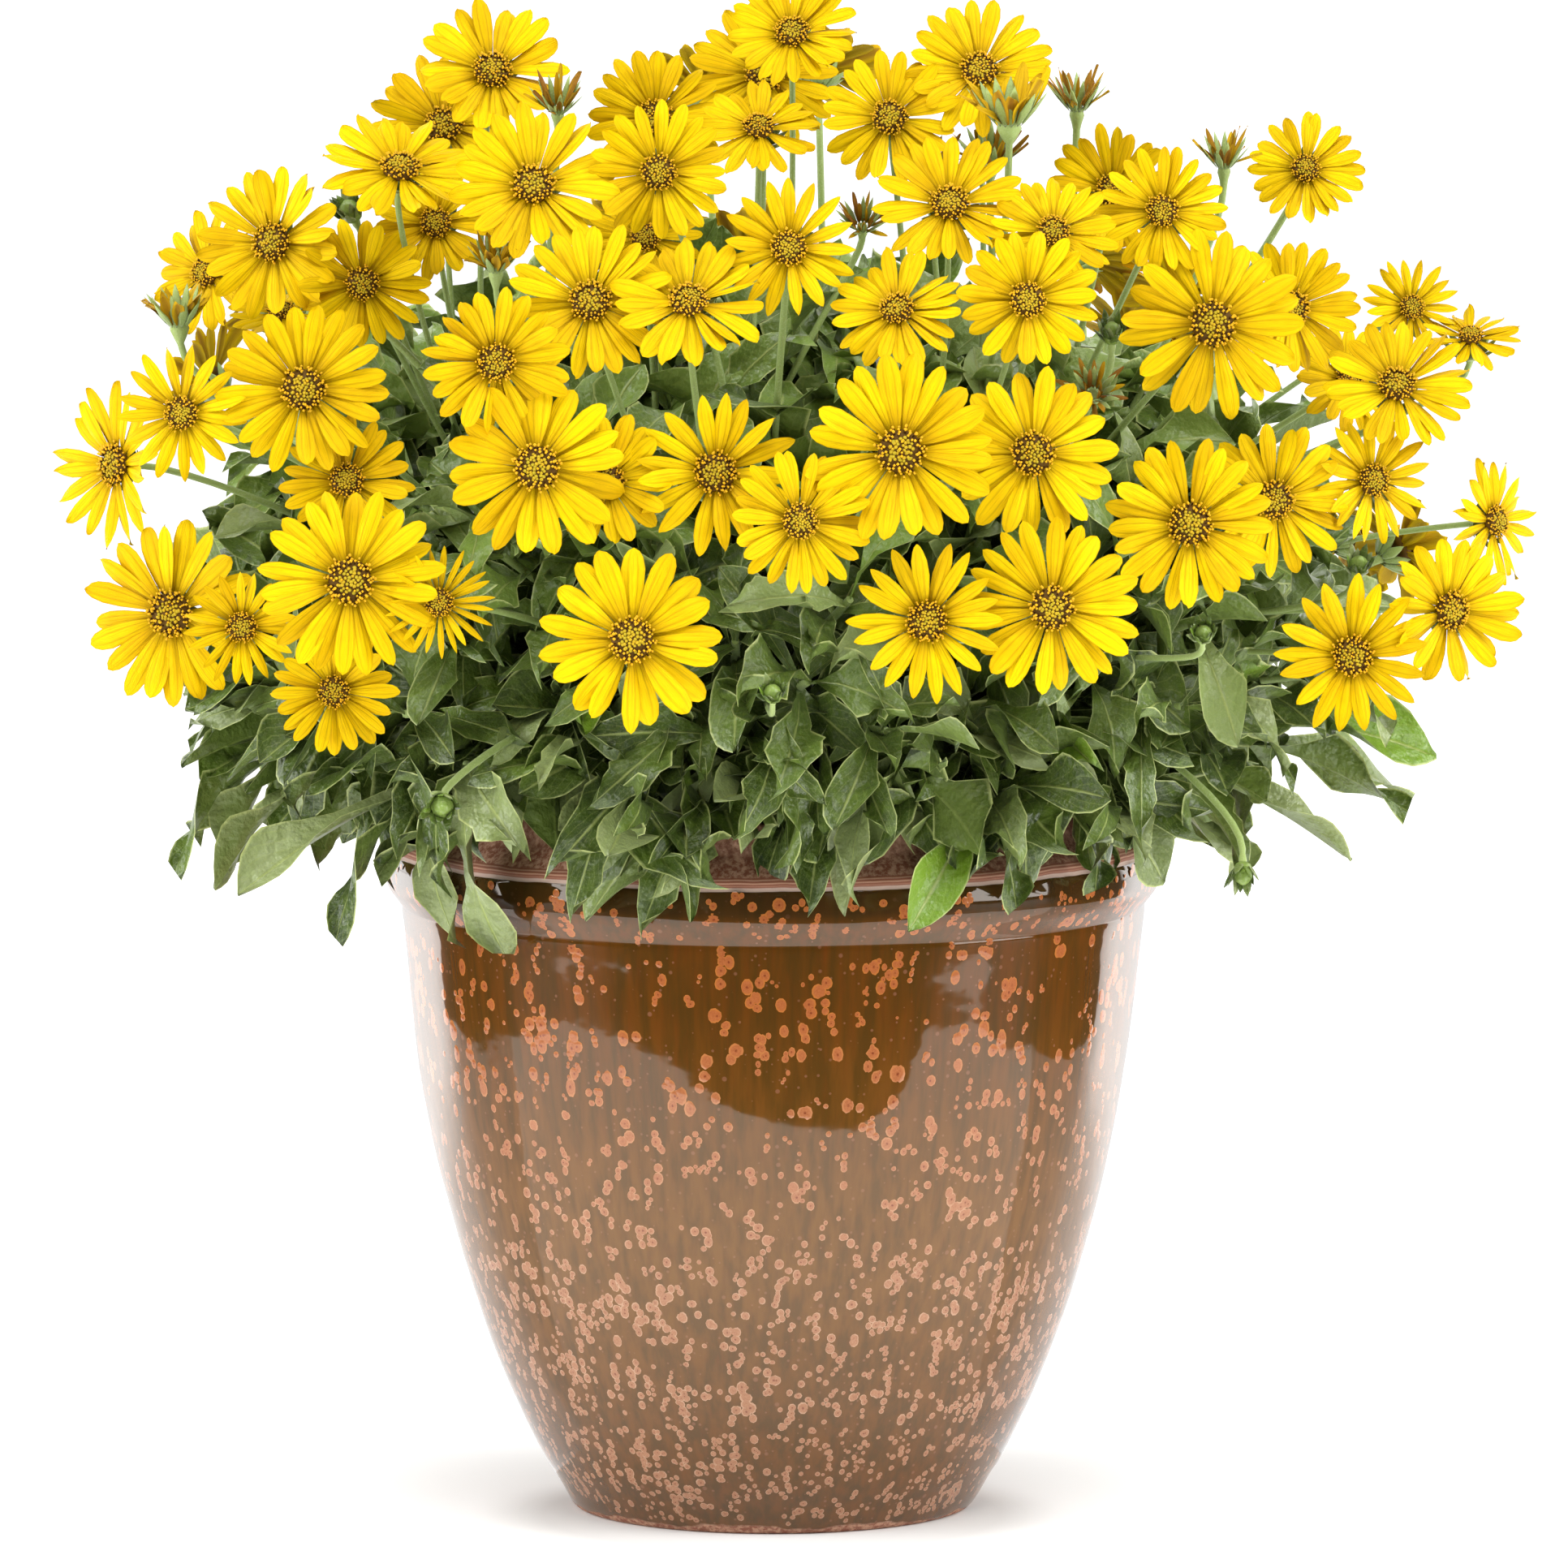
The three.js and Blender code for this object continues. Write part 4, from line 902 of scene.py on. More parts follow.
class Growth:
    # the points and lines that one piece grows from, in millimetres from the pot's axis

    usual = {
        "kind": -1,
        "turn": (0, 0, 0),
        "size": (1, 1, 1),
        "thickness": 0.001,
        "finish": finishNumbers["stalk"],
        "tint": 0.5,
        "aged": 0.0,
        "along": 0.5,
    }

    def __init__(self, name):
        self.name = name
        self.points = []
        self.edges = []
        self.values = {key: [] for key in self.usual}

    def addPoint(self, point, **values):
        self.points.append(metres(*point))
        for key, value in self.usual.items():
            self.values[key].append(values.get(key, value))

    def addItem(self, point, way, above, length, width, kind, finish, tint=0.5, aged=0.0, pick=0.0):
        way = unit(way)
        side = np.cross(above, way)
        if np.linalg.norm(side) < 1e-6:
            side = np.cross(vec(0.3, 0.5, 1), way)
        side = unit(side)
        turn = tuple(Matrix((way, side, np.cross(way, side))).transposed().to_euler("XYZ"))
        size = (length / 1000, width / 1000, width / 1000)
        kind = kinds[kind] + int(variants * pick)
        finish = finishNumbers[finish]
        self.addPoint(point, kind=kind, turn=turn, size=size, finish=finish, tint=tint, aged=aged)

    def addLine(self, points, radii, tint, alongs=None):
        first = len(self.points)
        last = len(points) - 1
        alongs = alongs or [i / last for i in range(last + 1)]
        for point, radius, along in zip(points, radii, alongs):
            self.addPoint(point, thickness=radius / 1000, tint=tint, along=along)
        self.edges += [(first + i, first + i + 1) for i in range(last)]

    def grow(self):
        if not self.edges:
            self.values.pop("along")
        seedling = makeObject(self.name + "_points", self.points, [], [], self.values, self.edges)
        modifier = seedling.modifiers.new("grow", "NODES")
        modifier.node_group = growTree
        inputs = dict(zip(finishInputs, (petalFinish, discFinish, leafFinish, stalkFinish)), Shapes=shapes)
        for item in growTree.interface.items_tree:
            if item.in_out == "INPUT" and item.name in inputs:
                modifier[item.identifier] = inputs[item.name]
        grown = seedling.evaluated_get(bpy.context.evaluated_depsgraph_get())
        mesh = bpy.data.meshes.new_from_object(grown)
        mesh.name = self.name
        seedling.modifiers.clear()
        bpy.data.objects.remove(seedling)
        return newObject(self.name, mesh)


# where the bush, its stems and its heads stand, in millimetres
bush = {
    # its middle, and the half axes of its core
    "middle": (0, 0, 285),
    "core": (116, 106, 74),
    # a stem's heart: share of the stem's way out, and height over the middle
    "heart": 0.62,
    "heartRise": 14,
    # half width and half depth of the skirt of low leaves, and its height over the middle
    "skirt": (172, 156, -13),
}
bushMiddle = vec(*bush["middle"])
bushCore = vec(*bush["core"])
stems = {
    "count": 6,
    "circle": 120,
    "turn": 20,
    # share of the way out and height, of a stem's foot and of its bend
    "foot": (0.72, 218),
    "bend": (0.8, 250),
    # radii and shares of the way up, of a stem and of its branches
    "radii": (3.0, 3.0, 2.8, 2.4),
    "alongs": (0, 0, 0.1, 0.2),
    "branchRadii": (2.4, 2.1, 1.5),
    "branchAlongs": (0, 0.2, 0.6),
}
# the dome that the heads stand on: upright below its middle, rounded above
dome = {"halfWidth": 275, "depth": 222, "height": 245, "middle": 310}
viewer = vec(*studio["eye"])

# number, across, rise, ahead of the dome, width, turn to the right, tilt up
frontHeads = [
    (1, -103, 532, 0, 55, 5, 30), (2, -121, 512, -75, 54, 0, 20), (3, -137, 496, 16, 57, 10, 55),
    (5, -124, 476, -60, 45, 0, 20), (6, -88, 490, 5, 60, 0, 30), (7, -184, 469, 9, 56, -20, 10),
    (8, -208, 458, -22, 47, -35, 20), (9, -151, 454, -24, 48, 0, 5), (10, -181, 443, -50, 39, 0, 60),
    (12, -173, 415, 4, 62, 0, 10), (13, -218, 406, 12, 48, -10, 5), (14, -242, 387, -20, 60, -50, 5),
    (15, -157, 381, -22, 48, 0, 15), (16, -156, 344, 22, 66, 0, 7), (17, -222, 332, -24, 66, -20, 5),
    (18, -196, 327, 0, 43, 0, 0), (19, -162, 303, -18, 45, 0, 0), (20, -123, 336, 4, 40, 0, 5),
    (21, -102, 425, 0, 53, 5, -5), (22, -87, 386, 12, 64, 0, 8), (23, -61, 381, -18, 48, 0, 8),
    (24, -21, 384, -10, 59, 0, 8), (25, 10, 366, 4, 50, 10, 8), (26, 47, 392, 12, 67, 0, 8),
    (27, 96, 391, 0, 61, 0, 8), (28, 57, 329, 0, 57, 0, 5), (29, 103, 334, 10, 62, 0, 8),
    (30, -52, 322, 6, 64, 0, 8), (31, -67, 447, -4, 58, 0, 25), (32, -31, 447, 0, 56, 0, 45),
    (33, -41, 495, 0, 50, 0, 5), (34, -43, 515, -34, 50, 0, 12), (35, -47, 471, -62, 42, 0, 15),
    (36, -3, 531, -66, 57, 0, 20), (37, 7, 546, 0, 48, 0, 35), (38, -5, 511, -26, 45, 0, 50),
    (39, 43, 515, -10, 50, 0, 15), (40, 77, 533, -10, 53, 0, 30), (45, 65, 483, 0, 54, 0, 35),
    (46, 6, 467, 0, 50, 0, 10), (47, 107, 474, -38, 46, 0, 30), (48, 142, 484, 8, 46, 0, 10),
    (49, 125, 488, -36, 48, 0, 8), (51, 196, 496, 10, 42, 0, 20), (52, 46, 444, 0, 48, -10, 35),
    (53, 94, 448, 18, 50, 0, 5), (54, 162, 439, 14, 66, 0, 8), (55, 191, 445, -10, 50, 15, 8),
    (56, 235, 445, 8, 37, 15, 15), (57, 257, 434, 4, 38, 0, 60), (58, 212, 418, -34, 42, 30, 25),
    (59, 230, 416, 34, 54, 0, 40), (60, 230, 383, 0, 47, 25, 8), (61, 266, 366, 0, 47, 50, 8),
    (62, 250, 333, -4, 54, 30, 5), (63, 214, 316, -4, 57, 0, 8), (64, 185, 374, -20, 55, 10, 8),
    (65, 154, 365, 10, 61, 0, 8),
]
petalStyles = dict.fromkeys((13, 14, 18, 24, 28, 46, 56, 60, 61, 63), "narrow")
petalStyles[20] = "quill"
# compass angle, height, heads and their width
rearGroups = [
    (22, 352, 2, 58), (50, 440, 3, 54), (78, 345, 2, 62), (100, 448, 3, 56), (130, 350, 2, 60),
    (156, 430, 2, 55), (92, 522, 2, 56),
]
rear = {
    # share of the dome where they stand, and how they tilt up with their height
    "share": 0.9,
    "tilt": 0.35,
    "tiltOver": 300,
    # how far apart a group's heads are to their width, and their least and most size
    "spacing": 0.39,
    "sizes": (0.94, 1.04),
    # the number of the first head, and the step from group to group
    "firstNumber": 101,
    "numberStep": 10,
}
# how close two touching heads stand, to the sum of their radii
touchShare = 0.82
touchingHeads = [
    (6, 33), (12, 13), (22, 21), (24, 23), (26, 25), (29, 28), (32, 31), (39, 40), (45, 47), (54, 48),
    (64, 60), (63, 62), (56, 57), (16, 20), (7, 9),
]
# across, rise, ahead, radius, turn, tilt, kind
greenHeads = [
    (-102, 463, -10, 9, 0, 70, "cup"), (-219, 443, 4, 12, -20, 78, "cup"),
    (87, 517, 36, 15, 0, 82, "cup"), (112, 522, 4, 9, 5, 80, "spent"), (80, 501, -44, 10, 0, 60, "spent"),
    (58, 499, -40, 8, 0, 60, "spent"), (166, 501, 4, 8, 0, 75, "spent"),
    (118, 414, -30, 8, 0, 20, "spent"), (-79, 521, -4, 8, 0, 60, "spent"),
    (33, 477, -60, 7, 0, 40, "spent"), (159, 324, 0, 4.5, 0, 30, "bud"),
    (174, 236, -20, 5, 0, -40, "bud"), (-155, 480, -30, 5.5, -20, 40, "bud"),
    (0, 302, 0, 4.5, 0, 30, "bud"), (125, 435, -30, 5, 0, 50, "bud"), (216, 349, -14, 5, 10, 40, "bud"),
    (-122, 261, 0, 6, 0, -10, "bud"),
]
head = {
    # share of the radius that stays level, and where behind the middle the cup ends
    "discShare": 0.3,
    "seat": -2.2,
    # degrees that the petals rise from the disc, at least and at most
    "petalRise": (-2, 14),
    # the room that stalks and leaves keep out of, in millimetres behind and in radii ahead
    "roomBehind": -3,
    "roomAhead": 0.3,
}
fitGap = 0.35
cup = {
    "radius": 7,
    "depth": 9,
    "bracts": 11,
    # shares of the radius and of the depth, and how straight every second bract stands
    "bractRoot": 0.35,
    "bractWidth": 0.30,
    "bractLength": 1.25,
    "hold": 0.75,
    "leans": (0.62, 0.72),
    # how thick the neck in the cup is, to the cup's radius
    "neck": 0.62,
    "closedNeck": 0.5,
}
stalk = {
    # radius, how much thicker its foot is, and where it starts between the stem's heart and the core
    "radius": 1.22,
    "foot": 1.35,
    "reachIn": 0.66,
    # points along it, and how clear of heads and of its cell's walls it stays
    "stations": 17,
    "clearance": 1.6,
    "besideHeads": 1.2,
    "besideCells": 1,
    # height over which a start rises up the bush, and its least and most, the most in the middle
    "liftOver": 250,
    "leastLift": 0.12,
    "mostLift": 0.6,
    "middleLift": 0.9,
    # how much of its span a stalk rises straight, and most that it arrives straight
    "riseShare": 0.35,
    "arrivalShare": 0.5,
    # drops, arrivals, bends and swings that are tried in turn until a stalk is clear
    "tries": ((0, 10, 22), (26, 16, 36, 9), (0, 14, -14, 28, -28, 44, -44), (0, 0.2, -0.2, 0.4, -0.4)),
    # how deep in the cup its neck's rings lie, and their share of the cup's radius
    "neckDepths": (0.72, 0.4, 0.06),
    "neckRadii": (0.42, 0.62, 0.5),
    "hairGap": 3.3,
    "hairLength": 1.5,
    "hairWidth": 0.11,
    "bareStations": 4,
}


def flatWay(angle):
    return vec(cos(angle), sin(angle), 0)


siteList = [vec(0, 0)]
for angle in steps(stems["count"]):
    siteList.append(stems["circle"] * flatWay(radians(stems["turn"]) + angle)[:2])
sites = np.array(siteList)


def nearestSite(place):
    return int(np.argmin(np.hypot(sites[:, 0] - place[0], sites[:, 1] - place[1])))


def cellMargins(places, index):
    # how far places lie inside the cell of a site
    margins = []
    for site in np.delete(sites, index, axis=0):
        apart = site - sites[index]
        margins.append(((site + sites[index]) / 2 - places[:, :2]) @ apart / np.linalg.norm(apart))
    return np.min(margins, axis=0)


def onShell(halfAxes, direction):
    return direction * halfAxes + bushMiddle


def heartOf(index):
    x, y = bush["heart"] * sites[index]
    return vec(x, y, bushMiddle[2] + bush["heartRise"])


def onDome(across, rise, ahead):
    # a place on the line of sight, ahead of the dome of heads
    left = 1 - (across / dome["halfWidth"]) ** 2 - (max(0, rise - dome["middle"]) / dome["height"]) ** 2
    return onSight(across, rise, dome["depth"] * sqrt(max(0, left)) + ahead)


def onSight(across, rise, reach):
    return mix(vec(across, 0, rise), viewer, reach / -viewer[1])


def facing(turn, tilt):
    yaw = radians(turn)
    pitch = radians(tilt)
    return vec(sin(yaw) * cos(pitch), -cos(yaw) * cos(pitch), sin(pitch))


def cupSlope(number):
    return tan(radians(spread(number, 1, *head["petalRise"])))


def petalsBehind(place, one):
    away = place - one.middle
    height = away @ one.out
    distance = sqrt(max(0, away @ away - height * height))
    return height - cupSlope(one.number) * max(0, distance - head["discShare"] * one.radius)


def setLevel(still, moved, way):
    for _ in range(3):
        apart = moved.middle - still.middle
        sideways = apart - (apart @ still.out) * still.out
        tooFar = np.linalg.norm(sideways) - touchShare * (still.radius + moved.radius)
        if tooFar > 0:
            moved.middle = moved.middle - tooFar * unit(sideways)
        between = mix(still.middle, moved.middle, 0.5)
        short = petalsBehind(between, moved) - petalsBehind(between, still)
        moved.middle = moved.middle + way * short / (way @ moved.out)


def allHeads():
    found = {}
    for number, across, rise, ahead, width, turn, tilt in frontHeads:
        middle = onDome(across, rise, ahead)
        found[number] = Record(number=number, middle=middle, out=facing(turn, tilt), radius=width / 2)
    for first, second in touchingHeads:
        setLevel(found[first], found[second], unit(viewer - found[second].middle))
    for group, (compass, height, count, width) in enumerate(rearGroups):
        outward = flatWay(radians(compass))
        level = sqrt(1 - (max(0, height - dome["middle"]) / dome["height"]) ** 2)
        centre = vec(dome["halfWidth"], dome["depth"], 0) * outward * rear["share"] * level
        centre[2] = height
        out = unit(outward + up * (rear["tilt"] + (height - dome["middle"]) / rear["tiltOver"]))
        side = unit(np.cross(up, out))
        high = np.cross(out, side)
        away = rear["spacing"] * width / sin(pi / count)
        first = rear["firstNumber"] + rear["numberStep"] * group
        for i, angle in enumerate(steps(count)):
            around = angle + group
            middle = centre + side * away * cos(around) + high * away * sin(around)
            radius = spread(group, i + 5, *rear["sizes"]) * width / 2
            found[first + i] = Record(number=first + i, middle=middle, out=out, radius=radius)
            if i > 0:
                setLevel(found[first], found[first + i], out)
    return list(found.values())


heads = allHeads()
headMiddles = np.array([one.middle for one in heads])
headFacings = np.array([one.out for one in heads])
headRadii = np.array([one.radius for one in heads])


def headFrame(out):
    right = -np.cross(up, out)
    length = np.linalg.norm(right)
    right = vec(1, 0, 0) if length < 0.001 else right / length
    return right, np.cross(out, right)


def inHeadRooms(places, margin):
    # which places lie in the room of which head
    away = places[:, None, :] - headMiddles[None]
    height = np.einsum("phk,hk->ph", away, headFacings)
    distance = np.sqrt(np.maximum(0, np.einsum("phk,phk->ph", away, away) - height ** 2))
    ahead = height < head["roomAhead"] * headRadii + margin
    behind = height > head["roomBehind"] - margin
    return (distance < headRadii + margin) & behind & ahead


def bezier(knots, shares):
    a, b, c, d = knots
    rest = 1 - shares
    return rest ** 3 * a + 3 * rest ** 2 * shares * b + 3 * rest * shares ** 2 * c + shares ** 3 * d


def stalkCurve(middle, out, ownHead):
    # the first try that keeps clear of other heads and inside the stem's cell, or else the clearest
    cell = nearestSite(middle)
    seat = middle + out * (head["seat"] - fitGap - cup["depth"])
    lift = max((middle[2] - bushMiddle[2]) / stalk["liftOver"], stalk["leastLift"])
    lift = min(lift, stalk["mostLift" if cell else "middleLift"])
    level = sqrt(1 - lift * lift)
    shares = np.linspace(0, 1, stalk["stations"])[:, None]
    best = None
    fewest = inf
    for drop, arrival, bend, swing in product(*stalk["tries"]):
        angle = atan2(middle[1], middle[0]) + swing
        start = onShell(bushCore, vec(cos(angle) * level, sin(angle) * level, lift))
        start = mix(start, heartOf(cell), 1 - stalk["reachIn"])
        span = np.linalg.norm(seat - start)
        sideways = vec(-sin(angle), cos(angle), 0) * bend
        rise = unit(unit(start - bushMiddle) + up)
        first = start + rise * span * stalk["riseShare"] + sideways
        last = seat - out * min(arrival, span * stalk["arrivalShare"]) - up * drop
        places = bezier((start, first, last, seat), shares)
        crowded = inHeadRooms(places, stalk["clearance"] + stalk["besideHeads"])
        if ownHead is not None:
            crowded[:, ownHead] = False
        outside = cellMargins(places, cell) < stalk["clearance"] + stalk["besideCells"]
        hits = crowded.sum() + outside.sum()
        if hits < fewest:
            fewest = hits
            best = places
        if not fewest:
            break
    return best


bloom = {
    # least and most petals, and their width to an even share of the ring
    "petals": {"broad": (18, 22), "narrow": (16, 19), "quill": (22, 24)},
    "width": {"broad": 1.12, "narrow": 0.86, "quill": 0.66},
    # where petals start, how high the odd and the even ones lie, and their roll in degrees
    "rootShare": 0.22,
    "stagger": (0.4, -0.5),
    "overlap": 9,
    # share of the radius where petals fill the ring, and the most that a ring of them is turned
    "widestAt": 0.68,
    "firstTurn": 6.3,
    # least and most of what the petals draw
    "aside": (-0.22, 0.22),
    "lean": (-9, 9),
    "roll": (-12, 12),
    "lengths": (0.95, 1.05),
    "widths": (0.9, 1.1),
    "discShare": 0.235,
    "discRise": 3.2,
    "florets": 130,
    "firstFloret": 0.4,
    "floretSize": 1.5 / 8.3,
    # how far out the florets reach, how they fall to the disc's edge, and how the beads lean out there
    "floretsOver": 1.05,
    "floretsFall": 0.86,
    "beadLean": 0.7,
    # least and most of what the florets draw
    "swirl": (-0.16, 0.16),
    "scatter": (-0.03, 0.03),
    "floretSizes": (0.85, 1.15),
    "antherLengths": (0.7, 1.6),
    "antherWidth": 1.15,
    # lean of the anthers in the disc's middle and at its edge, and the share of the disc they start at
    "antherLean": (-0.3, 1.2),
    "antherSway": 0.2,
    "anthersFrom": 0.6,
    "oddAnthers": 0.9,
}


def growHead(growth, one):
    own = bloom
    number = one.number
    out = one.out
    radius = one.radius
    style = petalStyles.get(number, "broad")
    right, high = headFrame(out)
    petals = int(round(spread(number, 2, *own["petals"][style])))
    slope = atan(cupSlope(number))
    for i in range(petals):
        item = number * 40 + i
        angle = 2 * pi * (i + spread(item, 3, *own["aside"])) / petals + own["firstTurn"] * noise(number, 4)
        outward = swung(right, high, angle)
        lean = slope + radians(spread(item, 5, *own["lean"]))
        way = swung(outward, out, lean)
        above = swung(out, -outward, lean)
        roll = radians(own["overlap"] + spread(item, 6, *own["roll"]))
        above = swung(above, np.cross(above, way), roll)
        root = one.middle + outward * own["rootShare"] * radius + out * own["stagger"][i % 2]
        length = radius * (spread(item, 7, *own["lengths"]) - own["rootShare"])
        width = 2 * pi * own["widestAt"] * radius / petals * own["width"][style]
        width *= spread(item, 8, *own["widths"])
        tint = noise(item, 10)
        growth.addItem(root, way, above, length, width, style, "petal", tint, pick=noise(item, 9))
    disc = own["discShare"] * radius
    growth.addItem(one.middle, out, high, 2 * own["discRise"], disc, "dome", "disc", 0.0)
    for i in range(own["florets"]):
        item = number * 150 + i
        angle = i * goldenAngle + spread(item, 15, *own["swirl"])
        share = sqrt((i + own["firstFloret"]) / own["florets"]) + spread(item, 16, *own["scatter"])
        rise = own["discRise"] * sqrt(max(0, 1 - own["floretsFall"] * share * share))
        flat = swung(right, high, angle)
        place = one.middle + flat * disc * own["floretsOver"] * share + out * rise
        size = own["floretSize"] * disc * spread(item, 12, *own["floretSizes"])
        wide = noise(item, 13)
        if share > own["anthersFrom"] or wide > own["oddAnthers"]:
            sway = high * own["antherSway"] * (wide - 0.5)
            way = unit(out + flat * mix(*own["antherLean"], share) + sway)
            tall = size * spread(item, 14, *own["antherLengths"])
            size *= own["antherWidth"]
            growth.addItem(place, way, high, tall, size, "anther", "disc", 0.6 + 0.4 * wide)
        else:
            way = unit(out + flat * own["beadLean"] * share)
            growth.addItem(place, way, high, size, size, "bead", "disc", 0.45 * wide)


def finishPiece(piece, slot, *nodes):
    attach(piece, "root")
    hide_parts(*nodes)


def makeBlooms():
    waiting = {one.number: one for one in heads}
    groups = []
    for first, second in touchingHeads:
        groups.append((f"blooms_{first:02d}_{second:02d}", [waiting.pop(first), waiting.pop(second)]))
    for group in range(len(rearGroups)):
        first = rear["firstNumber"] + rear["numberStep"] * group
        members = [number for number in waiting if first <= number < first + rear["numberStep"]]
        groups.append((f"blooms_rear_{group + 1}", [waiting.pop(number) for number in members]))
    groups += [(f"bloom_{number:02d}", [one]) for number, one in waiting.items()]
    for node, members in groups:
        growth = Growth("fine_" + node)
        for one in members:
            growHead(growth, one)
        finishPiece(growth.grow(), "petals", node)
    print("blooms grown:", len(groups))


makeBlooms()


foliage = {
    "shell": (216, 172, 162),
    # shoots on a shell: count, leaves on each, lowest rise, draw, least and most share of the shell
    "shells": (
        (172, 7, 0.1, 70, 0.8, 1.0),
        (44, 5, 0.05, 71, 0.5, 0.72),
        (60, 6, 0.5, 74, 0.84, 1.03),
    ),
    # how much a shoot on a shell points up, and how far in to the stem's heart every shoot starts
    "upward": 0.3,
    "inside": 0.8,
    "skirt": 88,
    "skirtLeaves": 8,
    # least and most of what the shoots of the skirt draw
    "skirtAside": (-0.2, 0.2),
    "skirtShares": (0.68, 1.03),
    "skirtRises": ((0, 10), (-4, 40)),
    "length": 48,
    "width": 20,
    # length, width and roll of the leaves above and in the skirt
    "upper": (1.02, 0.8, 40),
    "low": (1.12, 0.86, 70),
    # least and most of what the leaves draw
    "lengths": (0.7, 1.15),
    "widths": (0.75, 1.2),
    "dip": (-20, 64),
    "swing": (-75, 75),
    "opening": (18, 82),
    "droop": (0.0, 0.22),
    # the height where leaves begin to be young, how far above it all are, the most, and what each draws
    "youngFrom": 290,
    "youngOver": 130,
    "youngest": 0.85,
    "youngDraw": (0.2, 1.0),
    # painted shade: how much darker each leaf down a shoot, deeper in the bush, is painted
    "paintedShadeStep": 0.12,
    # how far apart leaves stand, how often one is tried and turned on, how they face up, and their room
    "step": 4.5,
    "tries": 5,
    "retryTurn": 0.3,
    "faceUp": 0.4,
    "room": 7,
}
# large leaves that hang over the rim or stand out at the sides: across, rise, reach, half width
hangingLeaves = [
    (-112, 206, 122, 11), (-130, 214, 100, 7), (49, 212, 160, 9), (92, 224, 142, 8), (14, 226, 164, 8),
    (-31, 237, 172, 9), (122, 230, 112, 8), (-229, 248, 20, 8), (-212, 237, 60, 7), (-196, 224, 90, 8),
    (-170, 221, 100, 8), (-224, 266, -30, 8), (-216, 292, 40, 9), (245, 290, 20, 9), (241, 272, -20, 7),
    (236, 262, 50, 7), (212, 237, 80, 8), (149, 239, 110, 8),
]
# height and radius of the pot's outer wall where leaves come near it
potWall = (
    (224, 231, 237, 243, 249, 256.5, 266, 271),
    (139.5, 138.5, 144, 145, 143, 137, 135, 134),
)


def clearOfPot(places):
    wall = np.interp(places[:, 2], *potWall) + 1.5
    free = (places[:, 2] > potWall[0][-1]) | (np.hypot(places[:, 0], places[:, 1]) > wall)
    return bool(free.all())


def makeShoot(hub, axis, low):
    cell = nearestSite(hub)
    inside = mix(hub, heartOf(cell), foliage["inside"])
    return Record(hub=hub, axis=axis, low=low, inside=inside, along=unit(hub - inside), cell=cell)


def shellShoot(index, count, lowest, shrink):
    height = 1 - ((index + 0.5) / count) * (1 - lowest)
    level = sqrt(1 - height * height)
    angle = index * goldenAngle + count
    direction = vec(level * cos(angle), level * sin(angle), height)
    shell = vec(*foliage["shell"])
    axis = unit(unit(direction / shell) + up * foliage["upward"])
    return makeShoot(onShell(shell * shrink, direction), axis, False)


def skirtShoot(index, count):
    outward = flatWay((index + spread(index, 7, *foliage["skirtAside"])) * 2 * pi / count)
    shrink = spread(index, 72, *foliage["skirtShares"])
    hub = (outward + up) * vec(*bush["skirt"]) * vec(shrink, shrink, 1) + bushMiddle
    low, high = foliage["skirtRises"]
    hub[2] += spread(index, 8, *low) + spread(index, 73, *high)
    return makeShoot(hub, outward, True)


def tryLeaf(shoot, item, place, attempt):
    draw = place + 10 * attempt
    root = shoot.hub - shoot.along * foliage["step"] * place
    longer, _, most = foliage["low" if shoot.low else "upper"]
    length = foliage["length"] * spread(item, 40 + draw, *foliage["lengths"]) * longer
    if shoot.low:
        dip = radians(spread(item, 30 + draw, *foliage["dip"]))
        swing = radians(spread(item, 50 + draw, *foliage["swing"]))
        x, y, _ = shoot.axis
        flat = vec(x * cos(swing) - y * sin(swing), x * sin(swing) + y * cos(swing), 0)
        way = swung(flat, -up, dip)
        above = swung(up, flat, dip)
    else:
        right, high = headFrame(shoot.axis)
        turn = (place + foliage["retryTurn"] * attempt) * goldenAngle + item
        outward = swung(right, high, turn)
        way = swung(shoot.axis, outward, radians(spread(item, 30 + draw, *foliage["opening"])))
        way[2] -= spread(item, 50 + draw, *foliage["droop"])
        way = unit(way)
        above = up * foliage["faceUp"] + shoot.axis
    above = swung(above, np.cross(way, above), radians(spread(item, 90 + draw, -most, most)))
    return root, way, above, length


def addLeaf(growth, root, way, above, length, width, item, young=0.0, paintedShade=1.0):
    # the painted shade lowers the tint, so a deeper leaf takes more of the deep green
    tint = noise(item, 91) * paintedShade
    growth.addItem(root, way, above, length, width, "leaf", "leaf", tint, young, noise(item, 90))


def growShootLeaves(growth, shoot, item, count):
    own = foliage
    shares = np.linspace(0.15, 1, 6)[:, None]
    for place in range(count):
        for attempt in range(own["tries"]):
            root, way, above, length = tryLeaf(shoot, item, place, attempt)
            side = unit(np.cross(above, way)) * own["room"]
            spine = root + way * length * shares
            tests = np.vstack([spine, spine[2:5] + side, spine[2:5] - side])
            if inHeadRooms(tests, -1.0).any() or not clearOfPot(tests):
                continue
            width = own["width"] * spread(item, 60 + place, *own["widths"]) * sqrt(length / own["length"])
            width *= own["low" if shoot.low else "upper"][1]
            high = 0.0 if shoot.low else max(0.0, (root[2] - own["youngFrom"]) / own["youngOver"])
            young = min(own["youngest"], high) * spread(item, 80 + place, *own["youngDraw"])
            # painted shade for leaves lying deeper in the bush
            paintedShade = 1 - own["paintedShadeStep"] * place
            addLeaf(growth, root, way, above, length, width, item * 12 + place, young, paintedShade)
            break


